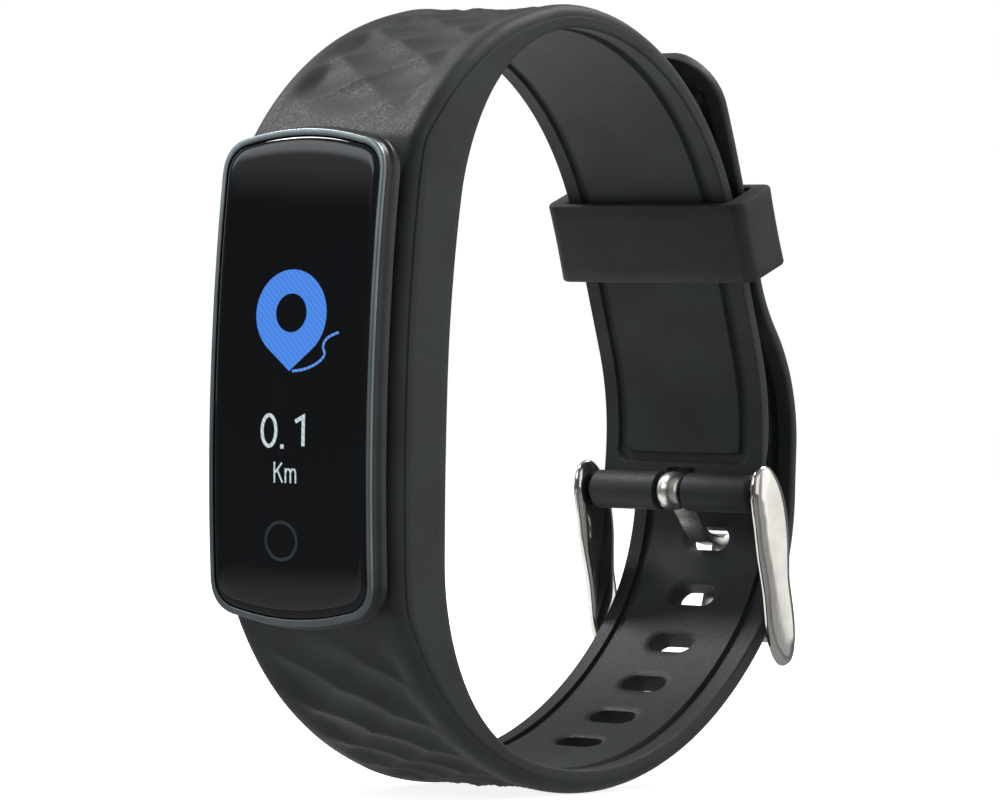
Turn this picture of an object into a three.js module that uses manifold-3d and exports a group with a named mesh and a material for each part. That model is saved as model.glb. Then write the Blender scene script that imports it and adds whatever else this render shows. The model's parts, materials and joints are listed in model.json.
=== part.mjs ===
// A fitness tracker band, closed in a loop as it sits on a wrist, in millimetres.
// +Z runs along the display's long side, the display faces -Y, and X is the axis of the wrist.
// The origin is the middle of the wrist loop, level with the middle of the display.
import * as THREE from "three";
import { mergeVertices } from "three/addons/utils/BufferGeometryUtils.js";
import Module from "manifold-3d";

const wasm = await Module();
wasm.setup();

// ---------------------------------------------------------------- driving dimensions
const GAP = 0.3; // between pieces that touch
const SLIDING_GAP = 0.2; // round what slides by hand
const DEG = Math.PI / 180;

// Overall sizes, which the rest follows
const STRAP_WIDTH = 18.6;
const BEZEL_WIDTH = 18.2;
const BEZEL_HEIGHT = 44.2;

// Strap
const STRAP_WIDTH_AT_POD = STRAP_WIDTH + 1;
const STRAP_THICK = 2.3;
const TAIL_THICK = 1.9;
const FLANK_THICK = 7.3; // front to back beside the pod
const FLANK_HALF = BEZEL_HEIGHT / 2 - 2.6; // how far the thick flank reaches from the middle
const FLANK_FADE = 20; // over which it thins down to the strap
const FLANK_FADE_POWER = 1.7;
const INNER_FACE_Y = -25.4; // the skin side behind the pod
const EDGE_ROUND = 0.9;
const SKIN_EDGE = 0.35;
const STATION_STEP = 2.4;
const TAIL_START = 84; // along the long part, where it thins to the tail
const TAIL_CORNER = 5.5;

// The strap's two parts leave the middle of the pod and bend as arcs: length, then turn in degrees.
const SHORT_RUN = [
  { length: 16.6, turn: 8.4 },
  { length: 9.7, turn: 28.2 },
  { length: 17.5, turn: 52.4 },
  { length: 32.6, turn: 69 },
  { length: 13, turn: 0 },
  { length: 9, turn: 22 },
  { length: 5, turn: 8 },
];
const KEEPER_STRETCH = 4; // which of the short part's arcs carries the keeper
const LONG_RUN = [
  { length: 16.3, turn: 3 },
  { length: 24.5, turn: 72 },
  { length: 40, turn: 63 },
  { length: 15, turn: 42 },
  { length: 6, turn: 0 },
  { length: 11.5, turn: 42 },
  { length: 6, turn: -20 },
];
const BOTTOM_ARC = 2; // its length and the upright's are worked out,
const UPRIGHT = 4; // so that the tail comes to lie on the short part under the keeper
const TAIL_END_REACH = 13.5; // past the keeper, to the tip
const TAIL_END_TURN = 6;
const FLANK_SWELL_UP = 0.4;
const FLANK_SWELL_DOWN = -0.3;

// Adjusting slots
const SLOT_LENGTH = 5;
const SLOT_WIDTH = 2.4;
const SLOT_PITCH = 6;
const SLOT_START = 0.15; // short of the short part, which lies under the slots by the keeper
const SLOTS_BEFORE_TANG = 5;
const SLOTS_AFTER_TANG = 6;

// Buckle
const BAR_INSET = -0.5; // the roll stands in from the strap's skin side
const ROLL_TAPER = 0.6; // how much the strap thins where it meets the roll
const ROLL_RADIUS = 1.9;
const TUBE_RADIUS = 0.9;
const TUBE_BORE = 0.55;
const TUBE_SHORTER = 0.4; // than the roll, at each end
const PIN_RADIUS = 0.4;
const EAR_THICK = 1.3;
const EAR_OFF_STRAP = 0.5;
const EAR_TOP_RADIUS = 2.7;
const EAR_TOP_SHIFT = 0.3; // outward from the bar
const EAR_BELLY = 2.7; // half width a third of the way down
const EAR_WAIST = 2.1; // half width at two thirds
const EAR_FOOT_RADIUS = 2.3;
const FAR_BAR_RADIUS = 0.8;
const FAR_BAR_BELOW_SLOT = 8; // along the strap
const TANG_WIDTH = 2.4;
const TANG_THICK = 0.9;
const TANG_CURL = 0.75; // wall of the curl round the bar
const NOTCH_SPARE = 0.5;
const PIN_IN_EAR = 0.9;
const TIP_TRAVEL = 1.2;
const SPRING_TURNS = 9;
const SPRING_WIRE = 0.1;

// Keeper
const KEEPER_LENGTH = 8;
const KEEPER_BELOW_BEND = 1.4; // its middle, from the top of the straight stretch
const KEEPER_TRAVEL_UP = 0.6;
const KEEPER_TRAVEL_DOWN = 1.5;
const KEEPER_WALL = 0.9;
const KEEPER_SIDE_WALL = 1.9;
const KEEPER_SLACK = 0.3; // over the short part
const KEEPER_CORNER = 1.2;

// Pod, measured back from its curved front
const POD_FRONT_Y = -36;
const POD_CURVE = 190; // radius of the front, seen from the side
const BEZEL_CORNER = 3;
const END_ARCH = 1.1; // how far each end bows out
const BEZEL_SIDE = 0.5;
const BEZEL_SUNK = 0.12;
const GLASS_THICK = 1;
const BEZEL_DEPTH = GLASS_THICK + 0.15;
const GLASS_GAP = 0.08;
const ADHESIVE_THICK = 0.18;
const ADHESIVE_WIDTH = 0.9;
const FLANGE_THICK = 1.5;
const BODY_WIDTH = BEZEL_WIDTH - 3.8;
const BODY_HEIGHT = BEZEL_HEIGHT - 5.2;
const BODY_CORNER = 2.6;
const BODY_WALL = 1;
const BODY_BACK_Y = -26.3;
const COVER_THICK = 1;
const GASKET_THICK = 0.2;

// Inside the pod
const INNER_WIDTH = BODY_WIDTH - 2 * BODY_WALL;
const INNER_HEIGHT = BODY_HEIGHT - 2 * BODY_WALL;
const DISPLAY = { width: INNER_WIDTH - 0.3, height: INNER_HEIGHT - 10.5, thick: 0.9, z: 0.5 };
const BACKLIGHT_THICK = 0.5;
const TOUCH_PAD = { width: 8, height: 3.4, thick: 0.3, z: 3.3 - INNER_HEIGHT / 2 };
const BOARD = { width: INNER_WIDTH - 0.8, height: INNER_HEIGHT - 2.6, thick: 0.8, y: POD_FRONT_Y + 4.1 };
const MOTOR = { radius: 4, thick: 2.6, wall: 0.25, z: 8.1 - INNER_HEIGHT / 2 };
const CELL_BOTTOM = MOTOR.z + MOTOR.radius + 2.75;
const CELL_TOP = INNER_HEIGHT / 2 - 3.65;
const CELL = {
  width: INNER_WIDTH - 2,
  height: CELL_TOP - CELL_BOTTOM,
  thick: 2.9,
  z: (CELL_TOP + CELL_BOTTOM) / 2,
};
const SENSOR = { board: 10, height: 11, thick: 0.5, z: 2 };
const WINDOW_RADIUS = 4.2;
const BUMP_RISE = 0.5;
const CONTACT_RADIUS = 1;
const CONTACT_SPACING = 5;
const CONTACT_Z = 6 - INNER_HEIGHT / 2;
const SCREW_RADIUS = 0.5;
const SCREW_HEAD = 0.85;
const SCREW_HEAD_DEEP = 0.5;

const GREY_BLACK = 0x2e3333;

// ---------------------------------------------------------------- solids
const group = new THREE.Group();

function solid(geometry) {
  const bare = geometry.index ? geometry.toNonIndexed() : geometry.clone();
  bare.deleteAttribute("normal");
  bare.deleteAttribute("uv");
  const merged = mergeVertices(bare, 1e-5);
  return new wasm.Manifold(
    new wasm.Mesh({
      numProp: 3,
      vertProperties: merged.attributes.position.array,
      triVerts: new Uint32Array(merged.index.array),
    }),
  );
}

function union(...bodies) {
  return bodies.reduce((whole, body) => whole.add(body));
}

function cut(body, ...tools) {
  return tools.reduce((rest, tool) => rest.subtract(tool), body);
}

function addMesh(name, body, finish) {
  const mesh = body.getMesh();
  const geometry = new THREE.BufferGeometry();
  geometry.setAttribute("position", new THREE.BufferAttribute(mesh.vertProperties, 3));
  geometry.setIndex(new THREE.BufferAttribute(mesh.triVerts, 1));
  const flat = geometry.toNonIndexed();
  flat.computeVertexNormals();
  const piece = new THREE.Mesh(flat, finish);
  piece.name = name;
  group.add(piece);
}

function finish(color, roughness, metalness = 0) {
  return new THREE.MeshStandardMaterial({ color, roughness, metalness });
}

const FINISHES = {
  silicone: finish(GREY_BLACK, 0.75),
  steel: finish(0xd9d6d0, 0.15, 1),
  housing: finish(0x16181a, 0.45),
  bezel: finish(0x7d8688, 0.35, 0.9),
  glass: finish(0x0b0d0f, 0.05),
  adhesive: finish(0x202020, 0.9),
  display: finish(0x050608, 0.2),
  film: finish(0xe6e6e0, 0.4),
  flex: finish(0xb5692a, 0.5),
  board: finish(0x1d5a3a, 0.6),
  chip: finish(0x1a1a1c, 0.5),
  can: finish(0xb8bcc0, 0.3, 1),
  ceramic: finish(0xe8e2d4, 0.6),
  cell: finish(0xa9adb2, 0.4, 0.8),
  led: finish(0x8fe08a, 0.2),
  clear: finish(0x1c2220, 0.08),
  rubber: finish(0x101010, 0.9),
  gold: finish(0xd4af5a, 0.25, 1),
};

// Cuboid from its low and high corners.
function block(low, high) {
  const size = high.map((value, axis) => value - low[axis]);
  const middle = high.map((value, axis) => (value + low[axis]) / 2);
  return solid(new THREE.BoxGeometry(...size).translate(...middle));
}

// Round bar along X between two stations.
function barX(radius, x0, x1, y, z, sides = 20) {
  const bar = new THREE.CylinderGeometry(radius, radius, x1 - x0, sides);
  return solid(bar.rotateZ(Math.PI / 2).translate((x0 + x1) / 2, y, z));
}

// Round bar along Y between two stations.
function barY(radius, y0, y1, x, z, sides = 20) {
  const bar = new THREE.CylinderGeometry(radius, radius, y1 - y0, sides);
  return solid(bar.translate(x, (y0 + y1) / 2, z));
}

// Outline drawn in X and Z, pushed from y0 to y1.
function plateY(shape, y0, y1, curveSegments = 6) {
  const plate = new THREE.ExtrudeGeometry(shape, {
    depth: y1 - y0,
    bevelEnabled: false,
    curveSegments,
  });
  return solid(plate.rotateX(Math.PI / 2).translate(0, y1, 0));
}

// Outline drawn in Y and Z, pushed from x0 to x1.
function plateX(shape, x0, x1, curveSegments = 6) {
  const plate = new THREE.ExtrudeGeometry(shape, {
    depth: x1 - x0,
    bevelEnabled: false,
    curveSegments,
  });
  const turned = new THREE.Matrix4().makeBasis(
    new THREE.Vector3(0, 1, 0),
    new THREE.Vector3(0, 0, 1),
    new THREE.Vector3(1, 0, 0),
  );
  return solid(plate.applyMatrix4(turned).translate(x0, 0, 0));
}

// ---------------------------------------------------------------- the strap's path
// A place on the path: y, z, and the direction of travel as an angle in the YZ plane.
function step(place, length, turn) {
  if (Math.abs(turn) < 1e-9) {
    return {
      y: place.y + length * Math.cos(place.angle),
      z: place.z + length * Math.sin(place.angle),
      angle: place.angle,
    };
  }
  const radius = length / turn;
  const angle = place.angle + turn;
  return {
    y: place.y + radius * (Math.sin(angle) - Math.sin(place.angle)),
    z: place.z - radius * (Math.cos(angle) - Math.cos(place.angle)),
    angle,
  };
}

// Walks a run of arcs for a distance; turnSign is -1 for the short part and +1 for the long one.
function placeOn(run, startAngle, turnSign, distance) {
  let place = { y: INNER_FACE_Y, z: 0, angle: startAngle };
  let left = distance;
  for (const arc of run) {
    const length = Math.min(left, arc.length);
    place = step(place, length, turnSign * arc.turn * DEG * (length / arc.length));
    left -= length;
    if (left <= 1e-9) break;
  }
  return place;
}

function runLength(run) {
  return run.reduce((sum, arc) => sum + arc.length, 0);
}

const SHORT_LENGTH = runLength(SHORT_RUN);

// Place on the short part, with its outward normal.
function onShort(distance) {
  const place = placeOn(SHORT_RUN, Math.PI / 2, -1, distance);
  return { ...place, ny: -Math.sin(place.angle), nz: Math.cos(place.angle) };
}

function longPlace(run, distance) {
  const place = placeOn(run, -Math.PI / 2, 1, distance);
  return { ...place, ny: Math.sin(place.angle), nz: -Math.cos(place.angle) };
}

// Where the keeper sits on the short part: near the top of its straight stretch.
const KEEPER_AT = runLength(SHORT_RUN.slice(0, KEEPER_STRETCH)) + KEEPER_BELOW_BEND;
const KEEPER_PLACE = onShort(KEEPER_AT);

// The long part, with the bottom arc and the upright made to bring its tail to the keeper's lower end.
function closedLongRun() {
  const below = KEEPER_LENGTH / 2 + KEEPER_TRAVEL_DOWN;
  const under = onShort(KEEPER_AT + below);
  const off = STRAP_THICK + SLIDING_GAP;
  const wanted = { y: under.y + under.ny * off, z: under.z + under.nz * off };
  const run = LONG_RUN.map((arc) => ({ ...arc }));
  const bottom = run[BOTTOM_ARC];
  let low = bottom.length * 0.5;
  let high = bottom.length * 1.6;
  for (let round = 0; round < 40; round++) {
    bottom.length = (low + high) / 2;
    if (longPlace(run, runLength(run)).y < wanted.y) low = bottom.length;
    else high = bottom.length;
  }
  run[UPRIGHT].length += wanted.z - longPlace(run, runLength(run)).z;
  const straight = KEEPER_LENGTH + KEEPER_TRAVEL_UP + KEEPER_TRAVEL_DOWN;
  return [
    ...run,
    { length: straight, turn: 0 },
    { length: TAIL_END_REACH, turn: TAIL_END_TURN },
  ];
}

const CLOSED_LONG_RUN = closedLongRun();
const LONG_LENGTH = runLength(CLOSED_LONG_RUN);

function onLong(distance) {
  return longPlace(CLOSED_LONG_RUN, distance);
}

function smooth(value) {
  const t = Math.min(1, Math.max(0, value));
  return t * t * (3 - 2 * t);
}

// How much of the thick flank is left at a distance from the pod's middle.
function flankShare(distance) {
  const u = Math.max(0, (distance - FLANK_HALF) / FLANK_FADE);
  return Math.max(0, 1 - u) ** FLANK_FADE_POWER;
}

function shortThick(distance) {
  const swell = FLANK_SWELL_UP * Math.min(1, distance / FLANK_HALF) ** 2;
  const thinned = smooth((distance - SHORT_LENGTH) / 6 + 1) * ROLL_TAPER;
  return STRAP_THICK - thinned + (FLANK_THICK + swell - STRAP_THICK) * flankShare(distance);
}

function longThick(distance) {
  const swell = FLANK_SWELL_DOWN * Math.min(1, distance / FLANK_HALF) ** 2;
  const thinned = smooth((distance - TAIL_START) / 15) * (STRAP_THICK - TAIL_THICK);
  return STRAP_THICK - thinned + (FLANK_THICK + swell - STRAP_THICK) * flankShare(distance);
}

function strapWidth(distance) {
  const toStrap = smooth((distance - FLANK_HALF) / FLANK_FADE);
  return STRAP_WIDTH_AT_POD + (STRAP_WIDTH - STRAP_WIDTH_AT_POD) * toStrap;
}

// The tail's corners are quarter circles, seen from outside.
function tailWidth(distance) {
  const past = distance - (LONG_LENGTH - TAIL_CORNER);
  if (past <= 0) return strapWidth(distance);
  const lost = TAIL_CORNER - Math.sqrt(Math.max(0, TAIL_CORNER ** 2 - past ** 2));
  return strapWidth(distance) - 2 * lost;
}

// ---------------------------------------------------------------- strap
// Cross-section in X and outward distance, anticlockwise, with rounded outer edges.
function strapSection(width, thick) {
  const half = width / 2;
  const round = Math.min(EDGE_ROUND, thick * 0.45);
  const points = [
    [-half + SKIN_EDGE, 0],
    [half - SKIN_EDGE, 0],
    [half, SKIN_EDGE],
  ];
  for (const start of [0, 90]) {
    for (let k = 0; k <= 3; k++) {
      const angle = (start + k * 30) * DEG;
      const side = start === 0 ? half - round : round - half;
      points.push([side + round * Math.cos(angle), thick - round + round * Math.sin(angle)]);
    }
  }
  points.push([-half, SKIN_EDGE]);
  return points;
}

function strapStations() {
  const stations = [];
  const shortSteps = Math.ceil(SHORT_LENGTH / STATION_STEP);
  for (let i = shortSteps; i > 0; i--) {
    const distance = (i / shortSteps) * SHORT_LENGTH;
    const section = strapSection(strapWidth(distance), shortThick(distance));
    stations.push({ place: onShort(distance), section });
  }
  const body = LONG_LENGTH - TAIL_CORNER;
  const longSteps = Math.ceil(body / STATION_STEP);
  const distances = [];
  for (let i = 0; i <= longSteps; i++) distances.push((i / longSteps) * body);
  for (let k = 1; k <= 6; k++) distances.push(body + TAIL_CORNER * Math.sin(k * 15 * DEG));
  for (const distance of distances) {
    const section = strapSection(tailWidth(distance), longThick(distance));
    stations.push({ place: onLong(distance), section });
  }
  return stations;
}

// One closed skin through all the stations.
function sweep(stations) {
  const positions = [];
  const count = stations[0].section.length;
  for (const { place, section } of stations) {
    for (const [x, out] of section) {
      positions.push(x, place.y + place.ny * out, place.z + place.nz * out);
    }
  }
  const index = [];
  for (let i = 0; i + 1 < stations.length; i++) {
    for (let j = 0; j < count; j++) {
      const a = i * count + j;
      const b = i * count + ((j + 1) % count);
      index.push(a, b, b + count, a, b + count, a + count);
    }
  }
  const last = (stations.length - 1) * count;
  for (let j = 1; j + 1 < count; j++) {
    index.push(0, j + 1, j, last, last + j, last + j + 1);
  }
  const geometry = new THREE.BufferGeometry();
  geometry.setAttribute("position", new THREE.Float32BufferAttribute(positions, 3));
  geometry.setIndex(index);
  return solid(geometry);
}

// Rounded outline, drawn round the origin.
function stadium(length, width) {
  const r = width / 2;
  const reach = length / 2 - r;
  const shape = new THREE.Shape();
  shape.absarc(reach, 0, r, -Math.PI / 2, Math.PI / 2, false);
  shape.absarc(-reach, 0, r, Math.PI / 2, 1.5 * Math.PI, false);
  return shape;
}

// Turns a solid drawn with +Z outward and Y along the strap onto a place of the path.
function ontoStrap(geometry, place) {
  const outward = new THREE.Vector3(0, place.ny, place.nz);
  const across = new THREE.Vector3(1, 0, 0);
  const along = new THREE.Vector3().crossVectors(outward, across);
  const turned = new THREE.Matrix4().makeBasis(across, along, outward);
  turned.setPosition(0, place.y, place.z);
  return solid(geometry.applyMatrix4(turned));
}

const TANG_SLOT_AT = tangSlotDistance();

// The tang's slot is where the long part comes level with the bar and a tang's reach below it.
function tangSlotDistance() {
  const bar = barCentre();
  const reach = 7.4;
  let best = 0;
  let bestError = Infinity;
  for (let distance = 60; distance < LONG_LENGTH; distance += 0.05) {
    const place = onLong(distance);
    const error = Math.abs(Math.hypot(place.y - bar.y, place.z - bar.z) - reach);
    if (place.z < bar.z && error < bestError) {
      best = distance;
      bestError = error;
    }
  }
  return best;
}

function barCentre() {
  const end = onShort(SHORT_LENGTH);
  return { y: end.y + end.ny * BAR_INSET, z: end.z + end.nz * BAR_INSET };
}

function slotCutters() {
  const cutters = [];
  for (let k = -SLOTS_BEFORE_TANG; k <= SLOTS_AFTER_TANG; k++) {
    const slot = new THREE.ExtrudeGeometry(stadium(SLOT_LENGTH, SLOT_WIDTH), {
      depth: STRAP_THICK * 3,
      bevelEnabled: false,
      curveSegments: 5,
    });
    slot.translate(0, 0, -SLOT_START);
    cutters.push(ontoStrap(slot, onLong(TANG_SLOT_AT + k * SLOT_PITCH)));
  }
  return cutters;
}

const NOTCH_WIDTH = TANG_WIDTH + 2 * NOTCH_SPARE;

function strap() {
  const bar = barCentre();
  const half = STRAP_WIDTH / 2;
  const roll = barX(ROLL_RADIUS, -half, half, bar.y, bar.z, 24);
  const bore = barX(TUBE_RADIUS + SLIDING_GAP, -half - 1, half + 1, bar.y, bar.z, 20);
  const deep = ROLL_RADIUS + NOTCH_SPARE;
  const notch = block(
    [-NOTCH_WIDTH / 2, bar.y - deep, bar.z - deep],
    [NOTCH_WIDTH / 2, bar.y + deep, bar.z + deep],
  );
  const skin = union(sweep(strapStations()), roll);
  return cut(skin, bore, notch, podPocket(), ...slotCutters());
}

// ---------------------------------------------------------------- pod
// Pod outline in X and Z: straight sides, rounded corners and bowed ends.
function podOutline(width, height, corner, arch = END_ARCH) {
  const w = width / 2;
  const h = height / 2;
  const shoulder = h - arch;
  const shape = new THREE.Shape();
  shape.moveTo(w, -shoulder + corner);
  shape.lineTo(w, shoulder - corner);
  shape.quadraticCurveTo(w, shoulder, w - corner, shoulder + arch * 0.35);
  shape.quadraticCurveTo(0, h + arch * 0.65, corner - w, shoulder + arch * 0.35);
  shape.quadraticCurveTo(-w, shoulder, -w, shoulder - corner);
  shape.lineTo(-w, -shoulder + corner);
  shape.quadraticCurveTo(-w, -shoulder, corner - w, -shoulder - arch * 0.35);
  shape.quadraticCurveTo(0, -h - arch * 0.65, w - corner, -shoulder - arch * 0.35);
  shape.quadraticCurveTo(w, -shoulder, w, -shoulder + corner);
  return shape;
}

// Layer that follows the curved front, between two depths behind it.
function frontLayer(depth0, depth1) {
  const reach = Math.asin((BEZEL_HEIGHT / 2 + 4) / POD_CURVE);
  const centre = POD_FRONT_Y + POD_CURVE;
  const steps = 16;
  const front = [];
  const back = [];
  for (let i = 0; i <= steps; i++) {
    const angle = reach * ((2 * i) / steps - 1);
    const on = (depth) => {
      const r = POD_CURVE - depth;
      return new THREE.Vector2(centre - r * Math.cos(angle), r * Math.sin(angle));
    };
    front.push(on(depth0));
    back.unshift(on(depth1));
  }
  return plateX(new THREE.Shape([...back, ...front]), -BEZEL_WIDTH, BEZEL_WIDTH);
}

function podPlate(width, height, corner, arch, depth0, depth1) {
  const plate = plateY(podOutline(width, height, corner, arch), POD_FRONT_Y - 3, BODY_BACK_Y);
  return plate.intersect(frontLayer(depth0, depth1));
}

const GLASS_WIDTH = BEZEL_WIDTH - 2 * (BEZEL_SIDE + GLASS_GAP);
const GLASS_HEIGHT = BEZEL_HEIGHT - 2 * (BEZEL_SIDE * 1.3 + GLASS_GAP);
const GLASS_CORNER = BEZEL_CORNER - BEZEL_SIDE;
const FLANGE_FROM = BEZEL_SUNK + BEZEL_DEPTH + 0.05;
const FLANGE_TO = FLANGE_FROM + FLANGE_THICK;

function glassLens() {
  return podPlate(GLASS_WIDTH, GLASS_HEIGHT, GLASS_CORNER, END_ARCH, 0, GLASS_THICK);
}

function bezelFrame() {
  const outer = podPlate(
    BEZEL_WIDTH,
    BEZEL_HEIGHT,
    BEZEL_CORNER,
    END_ARCH,
    BEZEL_SUNK,
    BEZEL_SUNK + BEZEL_DEPTH,
  );
  const inner = podPlate(
    GLASS_WIDTH + 2 * GLASS_GAP,
    GLASS_HEIGHT + 2 * GLASS_GAP,
    GLASS_CORNER + GLASS_GAP,
    END_ARCH,
    -1,
    BEZEL_DEPTH + 2,
  );
  return cut(outer, inner);
}

function lensAdhesive() {
  const from = GLASS_THICK + 0.03;
  const to = from + ADHESIVE_THICK;
  const shrink = 2 * ADHESIVE_WIDTH;
  const outer = podPlate(GLASS_WIDTH, GLASS_HEIGHT, GLASS_CORNER, END_ARCH, from, to);
  const inner = podPlate(
    GLASS_WIDTH - shrink,
    GLASS_HEIGHT - shrink,
    GLASS_CORNER - ADHESIVE_WIDTH / 2,
    END_ARCH,
    from - 1,
    to + 1,
  );
  return cut(outer, inner);
}

const BOSS_RADIUS = 1.3;
const BOSS_IN = BODY_WALL + BOSS_RADIUS * 0.7;
const SCREW_X = BODY_WIDTH / 2 - BOSS_IN;
const SCREW_Z = BODY_HEIGHT / 2 - BOSS_IN - 0.4;
const COVER_BACK_Y = BODY_BACK_Y + GASKET_THICK + 0.06 + COVER_THICK;
const SCREW_PLACES = [
  [1, 1],
  [-1, 1],
  [-1, -1],
  [1, -1],
].map(([right, up]) => ({ x: right * SCREW_X, z: up * SCREW_Z }));

function bodyOutline(shrink) {
  const width = BODY_WIDTH - 2 * shrink;
  const height = BODY_HEIGHT - 2 * shrink;
  return podOutline(width, height, BODY_CORNER - shrink * 0.6, 0.4);
}

function housing() {
  const flange = podPlate(
    BEZEL_WIDTH,
    BEZEL_HEIGHT,
    BEZEL_CORNER,
    END_ARCH,
    FLANGE_FROM,
    FLANGE_TO,
  );
  const top = POD_FRONT_Y + FLANGE_TO - 0.4;
  const body = plateY(bodyOutline(0), top, BODY_BACK_Y);
  const front = frontLayer(-4, FLANGE_FROM);
  const hollow = plateY(bodyOutline(BODY_WALL), POD_FRONT_Y - 3, BODY_BACK_Y + 1);
  const bossTop = BODY_BACK_Y - 3.2;
  const bosses = SCREW_PLACES.map(({ x, z }) => barY(BOSS_RADIUS, bossTop, BODY_BACK_Y, x, z, 14));
  const inBody = bosses.map((boss) => boss.intersect(body));
  const holes = SCREW_PLACES.map(({ x, z }) =>
    barY(SCREW_RADIUS + 0.05, bossTop + 0.7, BODY_BACK_Y + 1, x, z, 12),
  );
  return cut(union(cut(union(flange, body), hollow), ...inBody), front, ...holes);
}

// What the strap gives up so that the pod drops in from the front.
function podPocket() {
  const wide = SLIDING_GAP * 2;
  const flange = podPlate(
    BEZEL_WIDTH + wide + 2,
    BEZEL_HEIGHT + wide,
    BEZEL_CORNER,
    END_ARCH,
    FLANGE_FROM - 6,
    FLANGE_TO + GAP,
  );
  return union(flange, plateY(bodyOutline(-SLIDING_GAP), POD_FRONT_Y, INNER_FACE_Y + 4));
}

function rearCover() {
  const plate = plateY(bodyOutline(0), COVER_BACK_Y - COVER_THICK, COVER_BACK_Y);
  const bump = new THREE.CylinderGeometry(
    WINDOW_RADIUS + 1.6,
    WINDOW_RADIUS + 2.3,
    BUMP_RISE + 0.2,
    32,
  );
  bump.translate(0, COVER_BACK_Y + (BUMP_RISE - 0.2) / 2, SENSOR.z);
  const windowHole = barY(
    WINDOW_RADIUS + 0.1,
    COVER_BACK_Y - 3,
    COVER_BACK_Y + 3,
    0,
    SENSOR.z,
    32,
  );
  const contactHoles = [-1, 1].map((side) =>
    barY(
      CONTACT_RADIUS + 0.1,
      COVER_BACK_Y - 3,
      COVER_BACK_Y + 3,
      (side * CONTACT_SPACING) / 2,
      CONTACT_Z,
    ),
  );
  const screwHoles = SCREW_PLACES.flatMap(({ x, z }) => [
    barY(SCREW_RADIUS + 0.1, COVER_BACK_Y - 3, COVER_BACK_Y + 3, x, z, 12),
    barY(SCREW_HEAD + 0.1, COVER_BACK_Y - SCREW_HEAD_DEEP - 0.1, COVER_BACK_Y + 3, x, z, 14),
  ]);
  return cut(union(plate, solid(bump)), windowHole, ...contactHoles, ...screwHoles);
}

function rearGasket() {
  const y0 = BODY_BACK_Y + 0.03;
  const ring = plateY(bodyOutline(0.15), y0, y0 + GASKET_THICK);
  const inner = plateY(bodyOutline(BODY_WALL - 0.15), y0 - 1, y0 + 1);
  const holes = SCREW_PLACES.map(({ x, z }) => barY(SCREW_HEAD, y0 - 1, y0 + 1, x, z, 12));
  return cut(ring, inner, ...holes);
}

function coverScrew({ x, z }) {
  const headY = COVER_BACK_Y - SCREW_HEAD_DEEP;
  const head = barY(SCREW_HEAD, headY, COVER_BACK_Y - 0.05, x, z, 14);
  const shank = barY(SCREW_RADIUS, BODY_BACK_Y - 2.2, headY + 0.1, x, z, 10);
  const driveSlot = block(
    [x - SCREW_HEAD * 0.7, COVER_BACK_Y - 0.3, z - 0.12],
    [x + SCREW_HEAD * 0.7, COVER_BACK_Y + 1, z + 0.12],
  );
  const driveCross = block(
    [x - 0.12, COVER_BACK_Y - 0.3, z - SCREW_HEAD * 0.7],
    [x + 0.12, COVER_BACK_Y + 1, z + SCREW_HEAD * 0.7],
  );
  return cut(union(head, shank), driveSlot, driveCross);
}

// ---------------------------------------------------------------- inside the pod
const DISPLAY_FRONT_Y = POD_FRONT_Y + GLASS_THICK + 0.6;
const TOUCH_PAD_Y = POD_FRONT_Y + GLASS_THICK + 1.1;
const BACKLIGHT_FRONT_Y = DISPLAY_FRONT_Y + DISPLAY.thick + 0.1;
const BOARD_BACK_Y = BOARD.y + BOARD.thick;

function slab(size, y0, thick, z) {
  return block(
    [-size.width / 2, y0, z - size.height / 2],
    [size.width / 2, y0 + thick, z + size.height / 2],
  );
}

function displayFlex() {
  const width = 5;
  const top = DISPLAY.z - DISPLAY.height / 2 - 0.4;
  const film = 0.15;
  const front = BACKLIGHT_FRONT_Y + BACKLIGHT_THICK + 0.15;
  const down = block([-width / 2, front, top - 1.2], [width / 2, front + film, top + 6]);
  const back = block(
    [-width / 2, front, top - 1.2 - film],
    [width / 2, BOARD.y - 0.1, top - 1.2],
  );
  const foot = block(
    [-width / 2, BOARD.y - 0.1 - film, top - 1.2 - film],
    [width / 2, BOARD.y - 0.1, top + 3],
  );
  return union(down, back, foot);
}

function onBoard(width, height, thick, x, z) {
  const y0 = BOARD_BACK_Y + 0.05;
  return block([x - width / 2, y0, z - height / 2], [x + width / 2, y0 + thick, z + height / 2]);
}

const CHIPS_TOP_Z = INNER_HEIGHT / 2 - 2.2;
const CHIPS_LOW_Z = 2.3 - INNER_HEIGHT / 2;
const CELL_FRONT_Y = BOARD_BACK_Y + 0.45;

function batteryBoard() {
  const z0 = CELL.z + CELL.height / 2 + 0.2;
  const y0 = CELL_FRONT_Y + 0.6;
  return block([-CELL.width / 2 + 0.6, y0, z0], [CELL.width / 2 - 0.6, y0 + 1.4, z0 + 0.6]);
}

const MOTOR_FRONT_Y = BOARD_BACK_Y + 0.45;

function motorCase() {
  const back = MOTOR_FRONT_Y + MOTOR.thick;
  const cup = barY(MOTOR.radius, MOTOR_FRONT_Y + MOTOR.wall + 0.03, back, 0, MOTOR.z, 28);
  const inside = barY(
    MOTOR.radius - MOTOR.wall,
    MOTOR_FRONT_Y - 1,
    back - MOTOR.wall,
    0,
    MOTOR.z,
    28,
  );
  return cut(cup, inside);
}

function motorCover() {
  return barY(MOTOR.radius, MOTOR_FRONT_Y, MOTOR_FRONT_Y + MOTOR.wall, 0, MOTOR.z, 28);
}

const MOTOR_SHAFT_RADIUS = 0.4;

function motorShaft() {
  const y0 = MOTOR_FRONT_Y + MOTOR.wall + 0.05;
  const y1 = MOTOR_FRONT_Y + MOTOR.thick - MOTOR.wall - 0.05;
  return barY(MOTOR_SHAFT_RADIUS, y0, y1, 0, MOTOR.z, 16);
}

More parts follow.
